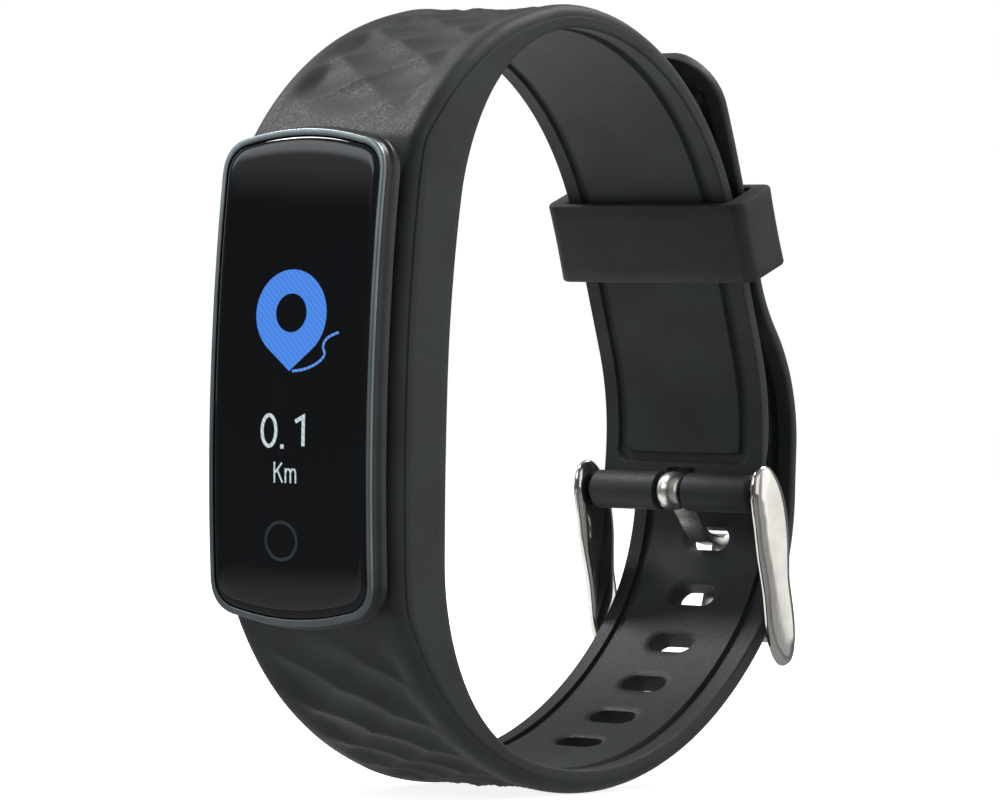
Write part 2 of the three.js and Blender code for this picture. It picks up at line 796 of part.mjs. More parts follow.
// Half disc on a hub: its weight off the shaft makes the shake.
function motorRotor() {
  const y0 = MOTOR_FRONT_Y + MOTOR.wall + 0.3;
  const y1 = MOTOR_FRONT_Y + MOTOR.thick - MOTOR.wall - 0.3;
  const reach = MOTOR.radius - MOTOR.wall - 0.3;
  const disc = barY(reach, y0, y1, 0, MOTOR.z, 28);
  const half = block([-9, y0 - 1, MOTOR.z - 9], [9, y1 + 1, MOTOR.z]);
  const hub = barY(1.1, y0, y1, 0, MOTOR.z, 16);
  const bore = barY(MOTOR_SHAFT_RADIUS + 0.06, y0 - 1, y1 + 1, 0, MOTOR.z, 16);
  return cut(union(disc.intersect(half), hub), bore);
}

const SENSOR_BOARD_Y = COVER_BACK_Y - COVER_THICK - 1.35;

function sensorBoard() {
  const size = { width: SENSOR.board, height: SENSOR.height };
  return slab(size, SENSOR_BOARD_Y, SENSOR.thick, SENSOR.z);
}

const ON_SENSOR_Y = SENSOR_BOARD_Y + SENSOR.thick + 0.05;

function sensorPart(width, height, thick, x) {
  return block(
    [x - width / 2, ON_SENSOR_Y, SENSOR.z - height / 2],
    [x + width / 2, ON_SENSOR_Y + thick, SENSOR.z + height / 2],
  );
}

const LED_X = 2.6;

// Foam wall that keeps the lamps' light off the photodiode.
function lightWall() {
  const outer = sensorPart(2.9, 3.1, 0.75, 0);
  const inner = block(
    [-1.15, ON_SENSOR_Y - 1, SENSOR.z - 1.25],
    [1.15, ON_SENSOR_Y + 2, SENSOR.z + 1.25],
  );
  return cut(outer, inner);
}

function sensorWindow() {
  return barY(
    WINDOW_RADIUS,
    COVER_BACK_Y - COVER_THICK + 0.2,
    COVER_BACK_Y + BUMP_RISE,
    0,
    SENSOR.z,
    32,
  );
}

function chargeContact(side) {
  const x = (side * CONTACT_SPACING) / 2;
  const pin = barY(CONTACT_RADIUS, COVER_BACK_Y - COVER_THICK - 0.1, COVER_BACK_Y + 0.1, x, CONTACT_Z);
  const foot = barY(CONTACT_RADIUS * 0.5, COVER_BACK_Y - 1.6, COVER_BACK_Y - 0.9, x, CONTACT_Z, 12);
  return union(pin, foot);
}

// ---------------------------------------------------------------- buckle
const BAR = barCentre();
const EAR_INNER_X = STRAP_WIDTH / 2 + EAR_OFF_STRAP;
const FAR_BAR = farBarCentre();

function farBarCentre() {
  const distance = TANG_SLOT_AT - FAR_BAR_BELOW_SLOT;
  const place = onLong(distance);
  const off = longThick(distance) + FAR_BAR_RADIUS + GAP;
  return { y: place.y + place.ny * off, z: place.z + place.nz * off };
}

// Ear outline in Y and Z: a broad round top at the bar, a belly, a waist, and a round foot.
function earOutline() {
  const axis = new THREE.Vector2(FAR_BAR.y - BAR.y, FAR_BAR.z - BAR.z);
  const length = axis.length();
  const along = axis.clone().normalize();
  const outward = new THREE.Vector2(-along.y, along.x);
  const at = (down, out) =>
    new THREE.Vector2(
      BAR.y + along.x * down + outward.x * out,
      BAR.z + along.y * down + outward.y * out,
    );
  const points = [];
  const arc = (down, out, radius, from, to, steps) => {
    for (let i = 0; i <= steps; i++) {
      const angle = (from + ((to - from) * i) / steps) * DEG;
      points.push(at(down - radius * Math.cos(angle), out + radius * Math.sin(angle)));
    }
  };
  const footIn = FAR_BAR_RADIUS - EAR_FOOT_RADIUS; // the far bar runs along the foot's outer edge
  const middle = (share) => EAR_TOP_SHIFT + (footIn - EAR_TOP_SHIFT) * share;
  arc(EAR_TOP_SHIFT, EAR_TOP_SHIFT, EAR_TOP_RADIUS, -90, 90, 12);
  points.push(at(length * 0.36, middle(0.36) + EAR_BELLY));
  points.push(at(length * 0.66, middle(0.66) + EAR_WAIST));
  arc(length, footIn, EAR_FOOT_RADIUS, 80, 280, 12);
  points.push(at(length * 0.66, middle(0.66) - EAR_WAIST));
  points.push(at(length * 0.36, middle(0.36) - EAR_BELLY));
  return new THREE.Shape(points.reverse());
}

function buckleFrame() {
  const outline = earOutline();
  const ears = [-1, 1].map((side) => {
    const near = side * EAR_INNER_X;
    const far = side * (EAR_INNER_X + EAR_THICK);
    return plateX(outline, Math.min(near, far), Math.max(near, far));
  });
  const reach = EAR_INNER_X + 0.2;
  const farBar = barX(FAR_BAR_RADIUS, -reach, reach, FAR_BAR.y, FAR_BAR.z, 20);
  const holes = [-1, 1].map((side) => {
    const near = side * (EAR_INNER_X - 1);
    const far = side * (EAR_INNER_X + PIN_IN_EAR);
    return barX(PIN_RADIUS + 0.08, Math.min(near, far), Math.max(near, far), BAR.y, BAR.z, 16);
  });
  return cut(union(...ears, farBar), ...holes);
}

// Strip of even thickness through a few places, as an outline in Y and Z.
function strip(points, thick) {
  const curve = new THREE.CatmullRomCurve3(
    points.map(({ y, z }) => new THREE.Vector3(0, y, z)),
    false,
    "centripetal",
  );
  const steps = 14;
  const left = [];
  const right = [];
  for (let i = 0; i <= steps; i++) {
    const at = curve.getPoint(i / steps);
    const along = curve.getTangent(i / steps);
    left.push(new THREE.Vector2(at.y - (along.z * thick) / 2, at.z + (along.y * thick) / 2));
    right.unshift(new THREE.Vector2(at.y + (along.z * thick) / 2, at.z - (along.y * thick) / 2));
  }
  return new THREE.Shape([...right, ...left]);
}

function tangPlaces() {
  const slot = onLong(TANG_SLOT_AT);
  const thick = longThick(TANG_SLOT_AT);
  const through = (out) => ({ y: slot.y + slot.ny * out, z: slot.z + slot.nz * out });
  const toSlot = through(-1.6);
  const curl = TUBE_RADIUS + SLIDING_GAP + TANG_CURL / 2;
  const dy = toSlot.y - BAR.y;
  const dz = toSlot.z - BAR.z;
  const far = Math.hypot(dy, dz);
  const start = { y: BAR.y + (dy / far) * curl, z: BAR.z + (dz / far) * curl };
  const away = new THREE.Vector2(FAR_BAR.y - BAR.y, FAR_BAR.z - BAR.z).normalize();
  const onBar = FAR_BAR_RADIUS + GAP / 2 + TANG_THICK / 2;
  const rest = {
    y: FAR_BAR.y - away.y * onBar,
    z: FAR_BAR.z + away.x * onBar,
  };
  return [start, toSlot, through(thick / 2), through(thick + 1), rest];
}

function tang() {
  const half = TANG_WIDTH / 2;
  const shank = plateX(strip(tangPlaces(), TANG_THICK), -half, half);
  const curlRadius = TUBE_RADIUS + SLIDING_GAP / 2 + TANG_CURL;
  const curl = barX(curlRadius, -half, half, BAR.y, BAR.z, 24);
  const bore = barX(TUBE_RADIUS + SLIDING_GAP / 2, -half - 1, half + 1, BAR.y, BAR.z, 20);
  return cut(union(shank, curl), bore);
}

const TUBE_HALF = STRAP_WIDTH / 2 - TUBE_SHORTER;

function springBarTube() {
  const tube = barX(TUBE_RADIUS, -TUBE_HALF, TUBE_HALF, BAR.y, BAR.z, 20);
  return cut(tube, barX(TUBE_BORE, -TUBE_HALF - 1, TUBE_HALF + 1, BAR.y, BAR.z, 16));
}

const TIP_INSIDE = 2.4;
const TIP_FOOT_X = TUBE_HALF - TIP_INSIDE - TIP_TRAVEL;

function springBarTip(side) {
  const bar = (radius, from, to) => {
    const ends = [side * from, side * to];
    return barX(radius, Math.min(...ends), Math.max(...ends), BAR.y, BAR.z, 14);
  };
  return union(
    bar(TUBE_BORE - 0.08, TIP_FOOT_X, TUBE_HALF - 0.6),
    bar(PIN_RADIUS, TUBE_HALF - 0.7, EAR_INNER_X + PIN_IN_EAR - 0.1),
  );
}

function springBarSpring() {
  const half = TIP_FOOT_X - 0.15;
  const mean = TUBE_BORE - SPRING_WIRE - 0.08;
  class Coil extends THREE.Curve {
    getPoint(t, target = new THREE.Vector3()) {
      const angle = t * SPRING_TURNS * 2 * Math.PI;
      const x = (2 * t - 1) * half;
      return target.set(x, BAR.y + mean * Math.cos(angle), BAR.z + mean * Math.sin(angle));
    }
  }
  const wire = new THREE.Shape();
  wire.absarc(0, 0, SPRING_WIRE, 0, 2 * Math.PI, false);
  return solid(
    new THREE.ExtrudeGeometry(wire, {
      steps: SPRING_TURNS * 8,
      extrudePath: new Coil(),
      curveSegments: 2,
    }),
  );
}

// ---------------------------------------------------------------- keeper
function keeper() {
  const tail = TAIL_THICK;
  const inner = {
    width: STRAP_WIDTH + 2 * GAP,
    depth: KEEPER_SLACK + STRAP_THICK + SLIDING_GAP + tail + SLIDING_GAP,
  };
  const outer = {
    width: inner.width + 2 * KEEPER_SIDE_WALL,
    depth: inner.depth + 2 * KEEPER_WALL,
  };
  const loop = roundedRectangle(outer.width, outer.depth, KEEPER_CORNER);
  loop.holes.push(roundedRectangle(inner.width, inner.depth, KEEPER_CORNER * 0.5));
  const band = new THREE.ExtrudeGeometry(loop, {
    depth: KEEPER_LENGTH,
    bevelEnabled: false,
    curveSegments: 4,
  });
  band.translate(0, 0, -KEEPER_LENGTH / 2);
  const centre = inner.depth / 2 - KEEPER_SLACK;
  const outward = new THREE.Vector3(0, KEEPER_PLACE.ny, KEEPER_PLACE.nz);
  const across = new THREE.Vector3(1, 0, 0);
  const turned = new THREE.Matrix4().makeBasis(
    across,
    outward,
    new THREE.Vector3().crossVectors(across, outward),
  );
  turned.setPosition(
    0,
    KEEPER_PLACE.y + KEEPER_PLACE.ny * centre,
    KEEPER_PLACE.z + KEEPER_PLACE.nz * centre,
  );
  return solid(band.applyMatrix4(turned));
}

function roundedRectangle(width, height, radius) {
  const w = width / 2 - radius;
  const h = height / 2 - radius;
  const shape = new THREE.Shape();
  shape.absarc(w, h, radius, 0, Math.PI / 2, false);
  shape.absarc(-w, h, radius, Math.PI / 2, Math.PI, false);
  shape.absarc(-w, -h, radius, Math.PI, 1.5 * Math.PI, false);
  shape.absarc(w, -h, radius, 1.5 * Math.PI, 2 * Math.PI, false);
  return shape;
}

// ---------------------------------------------------------------- assembly
addMesh("strap", strap(), FINISHES.silicone);
addMesh("keeper", keeper(), FINISHES.silicone);
addMesh("buckle_frame", buckleFrame(), FINISHES.steel);
addMesh("tang", tang(), FINISHES.steel);
addMesh("spring_bar_tube", springBarTube(), FINISHES.steel);
addMesh("spring_bar_tip_left", springBarTip(-1), FINISHES.steel);
addMesh("spring_bar_tip_right", springBarTip(1), FINISHES.steel);
addMesh("spring_bar_spring", springBarSpring(), FINISHES.steel);

addMesh("glass_lens", glassLens(), FINISHES.glass);
addMesh("bezel_frame", bezelFrame(), FINISHES.bezel);
addMesh("lens_adhesive", lensAdhesive(), FINISHES.adhesive);
addMesh("housing", housing(), FINISHES.housing);
addMesh("rear_cover", rearCover(), FINISHES.housing);
addMesh("rear_gasket", rearGasket(), FINISHES.rubber);
SCREW_PLACES.forEach((place, i) => {
  addMesh("cover_screw_" + (i + 1), coverScrew(place), FINISHES.can);
});
addMesh("charge_contact_left", chargeContact(-1), FINISHES.gold);
addMesh("charge_contact_right", chargeContact(1), FINISHES.gold);
addMesh("sensor_window", sensorWindow(), FINISHES.clear);
addMesh("sensor_board", sensorBoard(), FINISHES.board);
addMesh("sensor_led_left", sensorPart(1.2, 1.6, 0.6, -LED_X), FINISHES.led);
addMesh("sensor_led_right", sensorPart(1.2, 1.6, 0.6, LED_X), FINISHES.led);
addMesh("photodiode", sensorPart(2, 2.2, 0.5, 0), FINISHES.chip);
addMesh("light_wall", lightWall(), FINISHES.rubber);

addMesh("display_panel", slab(DISPLAY, DISPLAY_FRONT_Y, DISPLAY.thick, DISPLAY.z), FINISHES.display);
addMesh(
  "display_backlight",
  slab(DISPLAY, BACKLIGHT_FRONT_Y, BACKLIGHT_THICK, DISPLAY.z),
  FINISHES.film,
);
addMesh("display_flex", displayFlex(), FINISHES.flex);
addMesh("touch_pad", slab(TOUCH_PAD, TOUCH_PAD_Y, TOUCH_PAD.thick, TOUCH_PAD.z), FINISHES.flex);
addMesh("main_board", slab(BOARD, BOARD.y, BOARD.thick, 0), FINISHES.board);
addMesh("processor_chip", onBoard(3, 2, 0.9, -3.3, CHIPS_TOP_Z), FINISHES.chip);
addMesh("motion_sensor", onBoard(2, 2, 0.8, 1.2, CHIPS_TOP_Z), FINISHES.chip);
addMesh("antenna", onBoard(1.6, 3.2, 1.1, 4.4, CHIPS_LOW_Z + 0.2), FINISHES.ceramic);
addMesh("memory_chip", onBoard(3, 2, 0.8, -0.6, CHIPS_LOW_Z), FINISHES.chip);
addMesh("battery_cell", slab(CELL, CELL_FRONT_Y, CELL.thick, CELL.z), FINISHES.cell);
addMesh("battery_board", batteryBoard(), FINISHES.board);
addMesh("motor_case", motorCase(), FINISHES.can);
addMesh("motor_cover", motorCover(), FINISHES.can);
addMesh("motor_shaft", motorShaft(), FINISHES.steel);
addMesh("motor_rotor", motorRotor(), FINISHES.can);

export default group;
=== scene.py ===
# %% [markdown]
# # A fitness tracker band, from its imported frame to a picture
# The frame is the CAD model: every piece here is built in its metres and its axes, so nothing has to be
# fitted. +Z runs along the display, the display faces -Y, and X is the axis of the wrist. Sizes below are
# in millimetres, because that is how a maker would write them, and one factor turns them to metres.

# %% Load the frame
import bmesh
import bpy
import json
import math
import numpy as np
from mathutils import Matrix, Vector


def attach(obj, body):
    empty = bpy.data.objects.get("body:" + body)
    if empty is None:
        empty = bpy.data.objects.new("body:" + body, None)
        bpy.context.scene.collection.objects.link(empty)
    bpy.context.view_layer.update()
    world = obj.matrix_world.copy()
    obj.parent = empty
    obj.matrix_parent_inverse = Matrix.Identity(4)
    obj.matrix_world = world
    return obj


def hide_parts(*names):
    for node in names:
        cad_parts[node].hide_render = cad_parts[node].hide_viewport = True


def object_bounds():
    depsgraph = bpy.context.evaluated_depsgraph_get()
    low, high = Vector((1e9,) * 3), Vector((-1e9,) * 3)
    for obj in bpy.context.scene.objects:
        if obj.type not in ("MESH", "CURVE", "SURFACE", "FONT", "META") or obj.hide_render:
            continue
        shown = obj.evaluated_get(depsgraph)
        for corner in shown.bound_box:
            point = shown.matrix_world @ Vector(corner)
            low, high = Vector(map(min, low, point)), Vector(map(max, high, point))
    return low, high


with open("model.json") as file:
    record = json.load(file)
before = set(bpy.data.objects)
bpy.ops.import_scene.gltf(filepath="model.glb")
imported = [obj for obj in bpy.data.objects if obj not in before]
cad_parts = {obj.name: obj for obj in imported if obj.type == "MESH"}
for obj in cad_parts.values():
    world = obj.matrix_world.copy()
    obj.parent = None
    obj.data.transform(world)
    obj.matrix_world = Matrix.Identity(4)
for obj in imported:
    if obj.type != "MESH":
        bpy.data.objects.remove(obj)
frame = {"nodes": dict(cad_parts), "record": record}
cad_low, cad_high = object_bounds()
MM = 0.001


def into_scene(name, data):
    made = bpy.data.objects.new(name, data)
    bpy.context.scene.collection.objects.link(made)
    return made


# %% [markdown]
# ## Camera
# The band is seen from its right front, almost level, with a long lens, so its sides stay nearly
# parallel. The camera's axes are worked out from three angles and written straight into its matrix. That
# is safer than a Track To constraint, because another view can then move the camera freely.

# %% Place the camera
AZIMUTH = math.radians(36.0)
ELEVATION = math.radians(-0.48)
ROLL = math.radians(1.75)
DISTANCE = 450 * MM
AIM = Vector((0, -12.5 * MM, 0))
SIDESTEP, LIFT = 4.9 * MM, -1.33 * MM

back = Vector((
    math.sin(AZIMUTH) * math.cos(ELEVATION),
    -math.cos(AZIMUTH) * math.cos(ELEVATION),
    math.sin(ELEVATION),
))
level_right = Vector((math.cos(AZIMUTH), math.sin(AZIMUTH), 0))
level_up = back.cross(level_right)
right = level_right * math.cos(ROLL) + level_up * math.sin(ROLL)
up = level_up * math.cos(ROLL) - level_right * math.sin(ROLL)

camera_data = bpy.data.cameras.new("long_lens")
camera_data.sensor_width = 36
camera_data.lens = 175.6
camera_data.clip_start, camera_data.clip_end = 0.05, 20
camera = into_scene("camera", camera_data)
camera.matrix_world = Matrix.Translation(
    AIM + back * DISTANCE + level_right * SIDESTEP + level_up * LIFT
) @ Matrix((right, up, back)).transposed().to_4x4()
bpy.context.scene.camera = camera
print("camera at", [round(v, 3) for v in camera.matrix_world.translation])

# %% [markdown]
# ## Colours and nodes
# Colours are picked as sRGB hex, the way a paint chart gives them, and one function turns them to the
# linear values that a shader needs. One more function adds a node, sets it and links it, so a whole
# material reads as a short list. Most finishes differ only in their numbers, so one builder makes them.

# %% Helpers for every material
def colour(code):
    channels = [int(code[i:i + 2], 16) / 255 for i in (1, 3, 5)]
    linear = [c / 12.92 if c <= 0.04045 else ((c + 0.055) / 1.055) ** 2.4 for c in channels]
    return (*linear, 1.0)


def add(tree, kind, settings=None, inputs=None):
    node = tree.nodes.new(kind)
    for name, value in (settings or {}).items():
        setattr(node, name, value)
    for socket, value in (inputs or {}).items():
        if isinstance(value, bpy.types.NodeSocket):
            tree.links.new(value, node.inputs[socket])
        else:
            node.inputs[socket].default_value = value
    return node


def calc(tree, operation, *values):
    """One maths node on sockets or plain numbers, and its result."""
    return add(tree, "ShaderNodeMath", {"operation": operation}, dict(enumerate(values))).outputs[0]


def surface(name, **sockets):
    """A new material with one Principled shader: its tree, its shader and its Object coordinates."""
    material = bpy.data.materials.new(name)
    material.use_nodes = True
    tree = material.node_tree
    shader = tree.nodes["Principled BSDF"]
    for socket, value in sockets.items():
        shader.inputs[socket.replace("_", " ")].default_value = value
    place = add(tree, "ShaderNodeTexCoord").outputs["Object"]
    return material, tree, shader, place


def grain(tree, shader, place, size, low, high, height):
    """Roughness that wanders from low to high, and a bump of that height, from noise of one grain."""
    noise = add(tree, "ShaderNodeTexNoise", {}, {"Vector": place, "Scale": 1 / (size * MM), "Detail": 3.0})
    rough = add(tree, "ShaderNodeMapRange", {}, {0: noise.outputs["Fac"], 1: 0.3, 2: 0.7, 3: low, 4: high})
    tree.links.new(rough.outputs[0], shader.inputs["Roughness"])
    bump = add(tree, "ShaderNodeBump", {}, {
        "Strength": 1.0, "Distance": height * MM, "Height": noise.outputs["Fac"],
    })
    tree.links.new(bump.outputs["Normal"], shader.inputs["Normal"])


def two_tone(tree, shader, place, size, dark, light):
    """Base colour that drifts between two close tones over a distance in millimetres."""
    drift = add(tree, "ShaderNodeTexNoise", {}, {"Vector": place, "Scale": 1 / (size * MM), "Detail": 2.0})
    share = add(tree, "ShaderNodeMapRange", {}, {0: drift.outputs["Fac"], 1: 0.35, 2: 0.65})
    mix = add(tree, "ShaderNodeMix", {"data_type": "RGBA"}, {
        0: share.outputs[0], 6: colour(dark), 7: colour(light),
    })
    tree.links.new(mix.outputs[2], shader.inputs["Base Color"])


def grained(name, dark, light, size, low, high, height, tone_size=3.0, **sockets):
    """The make-up most finishes share: fine grain over two close tones."""
    material, tree, shader, place = surface(name, **sockets)
    grain(tree, shader, place, size, low, high, height)
    two_tone(tree, shader, place, tone_size, dark, light)
    return material

# %% [markdown]
# ## Strap silicone
# The strap and keeper are compression-moulded silicone rubber, pigmented black with a cold green-grey
# cast. The mould is spark-eroded, so the skin is matt with a fine, even grain of about a fifth of a
# millimetre. Silicone also shows faint flow clouds over a few millimetres. Both come from noise: one fine
# for bump and roughness, one broad for tone.

# %% Silicone
def silicone(name, dark, light):
    # Matt and soft: it catches wide, weak highlights along every rounded edge.
    soft = {"IOR": 1.43, "Sheen_Weight": 0.06, "Sheen_Roughness": 0.5}
    return grained(name, dark, light, 0.22, 0.50, 0.66, 0.014, 5.0, **soft)


strap_silicone = silicone("moulded_silicone_strap", "#14191b", "#192022")
keeper_silicone = silicone("moulded_silicone_keeper", "#14191a", "#191f20")
print("silicone:", strap_silicone.name, keeper_silicone.name)

# %% [markdown]
# ## Metals
# The buckle and tang are cast stainless steel. The buckle is tumbled and then polished to a mirror, with
# hairline marks from the mop, and the tang is left satin. The spring bar is drawn wire steel, duller. The
# bezel is aluminium, bead-blasted and anodised grey. A metal keeps the default IOR, and its colour
# carries the whole look.

# %% Steel and aluminium
def metal(name, tone, size, low, high, height):
    return grained(name, *tone, size, low, high, height, 4.0, Metallic=1.0)


def polished(name):
    # Mirror polish, its mop lines drawn out along Z.
    material, tree, shader, place = surface(name, Metallic=1.0)
    drawn = add(tree, "ShaderNodeMapping", {}, {"Vector": place, "Scale": (1.0, 1.0, 0.15)})
    grain(tree, shader, drawn.outputs["Vector"], 0.3, 0.05, 0.13, 0.0012)
    two_tone(tree, shader, place, 3.0, "#dcd8d1", "#e9e6e0")
    return material


polished_steel = polished("polished_cast_steel")
satin_steel = metal("satin_cast_steel", ("#dedad3", "#ebe8e2"), 0.2, 0.26, 0.34, 0.0012)
bar_steel = metal("drawn_wire_steel", ("#a9a9a6", "#bcbcb9"), 0.25, 0.25, 0.4, 0.002)
bezel_metal = metal("bead_blasted_anodised_aluminium", ("#7f888b", "#8b9497"), 0.12, 0.34, 0.46, 0.004)
screw_steel = metal("zinc_plated_steel", ("#7d7f83", "#909297"), 0.2, 0.28, 0.42, 0.002)
contact_gold = metal("gold_flash_on_nickel", ("#caa04c", "#dcb765"), 0.2, 0.16, 0.28, 0.001)
motor_can = metal("pressed_nickel_steel", ("#9fa2a6", "#b2b5b9"), 0.4, 0.22, 0.36, 0.002)
rotor_metal = metal("sintered_tungsten", ("#5d5e62", "#6d6f73"), 0.15, 0.4, 0.6, 0.006)
cell_foil = metal("aluminium_pouch_foil", ("#9da1a6", "#b1b5ba"), 1.2, 0.25, 0.4, 0.03)
print("metals ready")

# %% [markdown]
# ## Plastics, glass and the parts inside
# The housing is black ABS from a finely eroded mould, a little glossier than the strap. The front is
# chemically toughened glass over black print: a smooth dielectric with the faintest smear in its
# roughness. The parts inside show only when the pod is out of its strap, but each still gets the finish
# of the real thing.

# %% Plastics and glass
housing_plastic = grained("eroded_black_abs", "#101214", "#15181a", 0.15, 0.30, 0.42, 0.006, IOR=1.53)
display_glass = grained(
    "toughened_glass_black_print", "#060709", "#08090c", 9.0, 0.025, 0.05, 0.0, 12.0, IOR=1.52,
)
sensor_lens = grained("smoked_polycarbonate", "#0a0f0d", "#101614", 4.0, 0.04, 0.09, 0.0, IOR=1.58)
black_foam = grained("closed_cell_foam", "#0d0d0d", "#161616", 0.2, 0.8, 0.95, 0.02, IOR=1.4)
circuit_board = grained(
    "solder_mask_on_glass_laminate", "#12402a", "#1c5a3b", 0.3, 0.35, 0.5, 0.01, 1.2, IOR=1.5,
)
lamp_resin = grained("clear_epoxy_over_lamp", "#9bd396", "#b4e6ae", 0.5, 0.1, 0.2, 0.002, IOR=1.55)
chip_resin = grained("moulded_epoxy_resin", "#151518", "#1d1d20", 0.12, 0.5, 0.7, 0.006, IOR=1.55)
display_stack = grained("laminated_panel_glass", "#0b0c10", "#101217", 2.0, 0.08, 0.15, 0.0, IOR=1.52)
light_film = grained("white_diffuser_film", "#d8d8d3", "#e6e6e1", 0.4, 0.4, 0.55, 0.003, IOR=1.5)
flex_film = grained("polyimide_film", "#8a4d18", "#a5631f", 0.5, 0.3, 0.45, 0.003, IOR=1.7)
antenna_ceramic = grained("fired_ceramic", "#d7cfbf", "#e5dece", 0.2, 0.5, 0.65, 0.005, IOR=1.6)
print("plastics and glass ready")

# %% [markdown]
# ## Where the strap runs
# The strap leaves the middle of the pod both ways and bends as a chain of arcs, each with a length and a
# turn. Walking that chain gives a place and an outward direction at any distance, and everything on the
# strap is put down by distance along it and distance across it. These are the same arcs as the CAD
# model's.

# %% Walk along the strap
SHORT_RUN = ((16.6, 8.4), (9.7, 28.2), (17.5, 52.4), (32.6, 69), (13, 0), (9, 22), (5, 8))
LONG_RUN = (
    (16.3, 3), (24.5, 72), (41.129, 63), (15, 42), (4.5, 0), (11.5, 42), (6, -20), (10.1, 0), (13.5, 6),
)
INNER_FACE_Y = -25.4
SHORT_LENGTH = sum(length for length, turn in SHORT_RUN)
LONG_LENGTH = sum(length for length, turn in LONG_RUN)


def walk(run, sign, distance):
    """Place (y, z) of the inner face, and the outward direction (y, z), that far along a run."""
    y, z, angle = INNER_FACE_Y, 0.0, -sign * math.pi / 2
    for length, turn in run:
        part = min(distance, length)
        bend = sign * math.radians(turn) * part / length
        if abs(bend) < 1e-9:
            y, z = y + part * math.cos(angle), z + part * math.sin(angle)
        else:
            radius = part / bend
            y += radius * (math.sin(angle + bend) - math.sin(angle))
            z -= radius * (math.cos(angle + bend) - math.cos(angle))
            angle += bend
        distance -= part
        if distance <= 1e-9:
            break
    return np.array([y, z]), sign * np.array([math.sin(angle), -math.cos(angle)])


def smooth(value):
    t = np.clip(value, 0.0, 1.0)
    return t * t * (3 - 2 * t)


print("short part", round(SHORT_LENGTH, 1), "mm, long part", round(LONG_LENGTH, 1), "mm")

# %% [markdown]
# ## The strap's section
# Beside the pod the strap is 7.3 mm deep, and it thins to 2.3 mm within two centimetres of the pod's
# ends. Seen end-on, the outer edge rolls over and drops to a small step, where the two halves of the
# mould met. The skin side has a flat rim, a narrow channel and a level panel between the channels.

# %% Thickness, width and section
STRAP_THICK, TAIL_THICK = 2.3, 1.9
FLANK_THICK, FLANK_HALF, FLANK_FADE = 7.3, 19.5, 20
WIDTH, WIDTH_AT_POD = 18.6, 19.6
TAIL_START, TAIL_CORNER = 84, 5.5
ROLL_TAPER = 0.6
PARTING = 1.13
STEP_IN = 0.15
EDGE_ROLL = 1.3
CORNER = 0.35
FADE_POWER = 1.7
FLANK_SWELL = {-1: 0.4, 1: -0.3}


def thickness(u, sign):
    share = max(0.0, 1 - max(0.0, u - FLANK_HALF) / FLANK_FADE) ** FADE_POWER
    swell = FLANK_SWELL[sign] * min(1.0, u / FLANK_HALF) ** 2
    if sign < 0:
        thinned = smooth((u - SHORT_LENGTH) / 6 + 1) * ROLL_TAPER
    else:
        thinned = smooth((u - TAIL_START) / 15) * (STRAP_THICK - TAIL_THICK)
    return STRAP_THICK - thinned + (FLANK_THICK + swell - STRAP_THICK) * share


def half_width(u, sign):
    half = (WIDTH_AT_POD + (WIDTH - WIDTH_AT_POD) * smooth((u - FLANK_HALF) / FLANK_FADE)) / 2
    past = u - (LONG_LENGTH - TAIL_CORNER)
    if sign > 0 and past > 0:
        half -= TAIL_CORNER - math.sqrt(max(0.0, TAIL_CORNER**2 - past**2))
    return half


def half_section(half, thick, tip):
    """Points (x, out, on the outer face), from mid skin side round to mid outside."""
    points = [(x, 0.0, 0) for x in np.linspace(0, 3.2, 12)]
    points += [(x, 0.0, 0) for x in np.linspace(3.6, half - 2.75, 5)]
    points += [(half - x, 0.0, 0) for x in (2.7, 2.58, 2.2, 1.72, 1.6, 1.48, 1.0, CORNER)]
    for degree in (30, 60, 90):
        a = math.radians(degree)
        points.append((half - CORNER + CORNER * math.sin(a), CORNER - CORNER * math.cos(a), 0))
    side_top = thick - PARTING - 0.1
    points += [(half, t, 0) for t in np.linspace(CORNER, side_top, 7)[1:]]
    points += [(half - 0.03, side_top + 0.06, 0), (half - STEP_IN, side_top + 0.1, 0)]
    for degree in range(12, 91, 13):
        a = math.radians(degree)
        x = half - EDGE_ROLL + (EDGE_ROLL - STEP_IN) * math.cos(a)
        points.append((x, thick - PARTING + PARTING * math.sin(a), 0.5))
    points += [(x, thick, 1) for x in np.linspace(half - EDGE_ROLL, 0, 27)]
    return np.array([(x, min(out, thick - tip), outer) for x, out, outer in points])


print("section of", 2 * len(half_section(9.3, 2.3, 0)) - 2, "points")

# %% [markdown]
# ## The skin side
# The panel is a long rounded rectangle on each part, and the channel runs right round it, so near the
# buckle it closes in a U. A signed distance to that rectangle says which zone a point is in. The same
# trick softens the lip of every adjusting slot, where a moulded edge is never sharp.

# %% Channel, rim and slot lips
PANEL_HALF = 6.6
PANELS = {-1: (25.0, 99.4), 1: (25.0, LONG_LENGTH - 4.2)}
CHANNEL_WIDTH, CHANNEL_DEPTH, RIM_DEPTH = 1.1, 0.45, 0.06
SLOT_LENGTH, SLOT_WIDTH, SLOT_PITCH = 5.0, 2.4, 6.0
TANG_SLOT = 92.05
SLOTS = [TANG_SLOT + k * SLOT_PITCH for k in range(-5, 7)]
LIP_REACH, LIP_DROP = 0.45, 0.22
PANEL_CORNER, SOFT_STEP = 0.3, 0.14


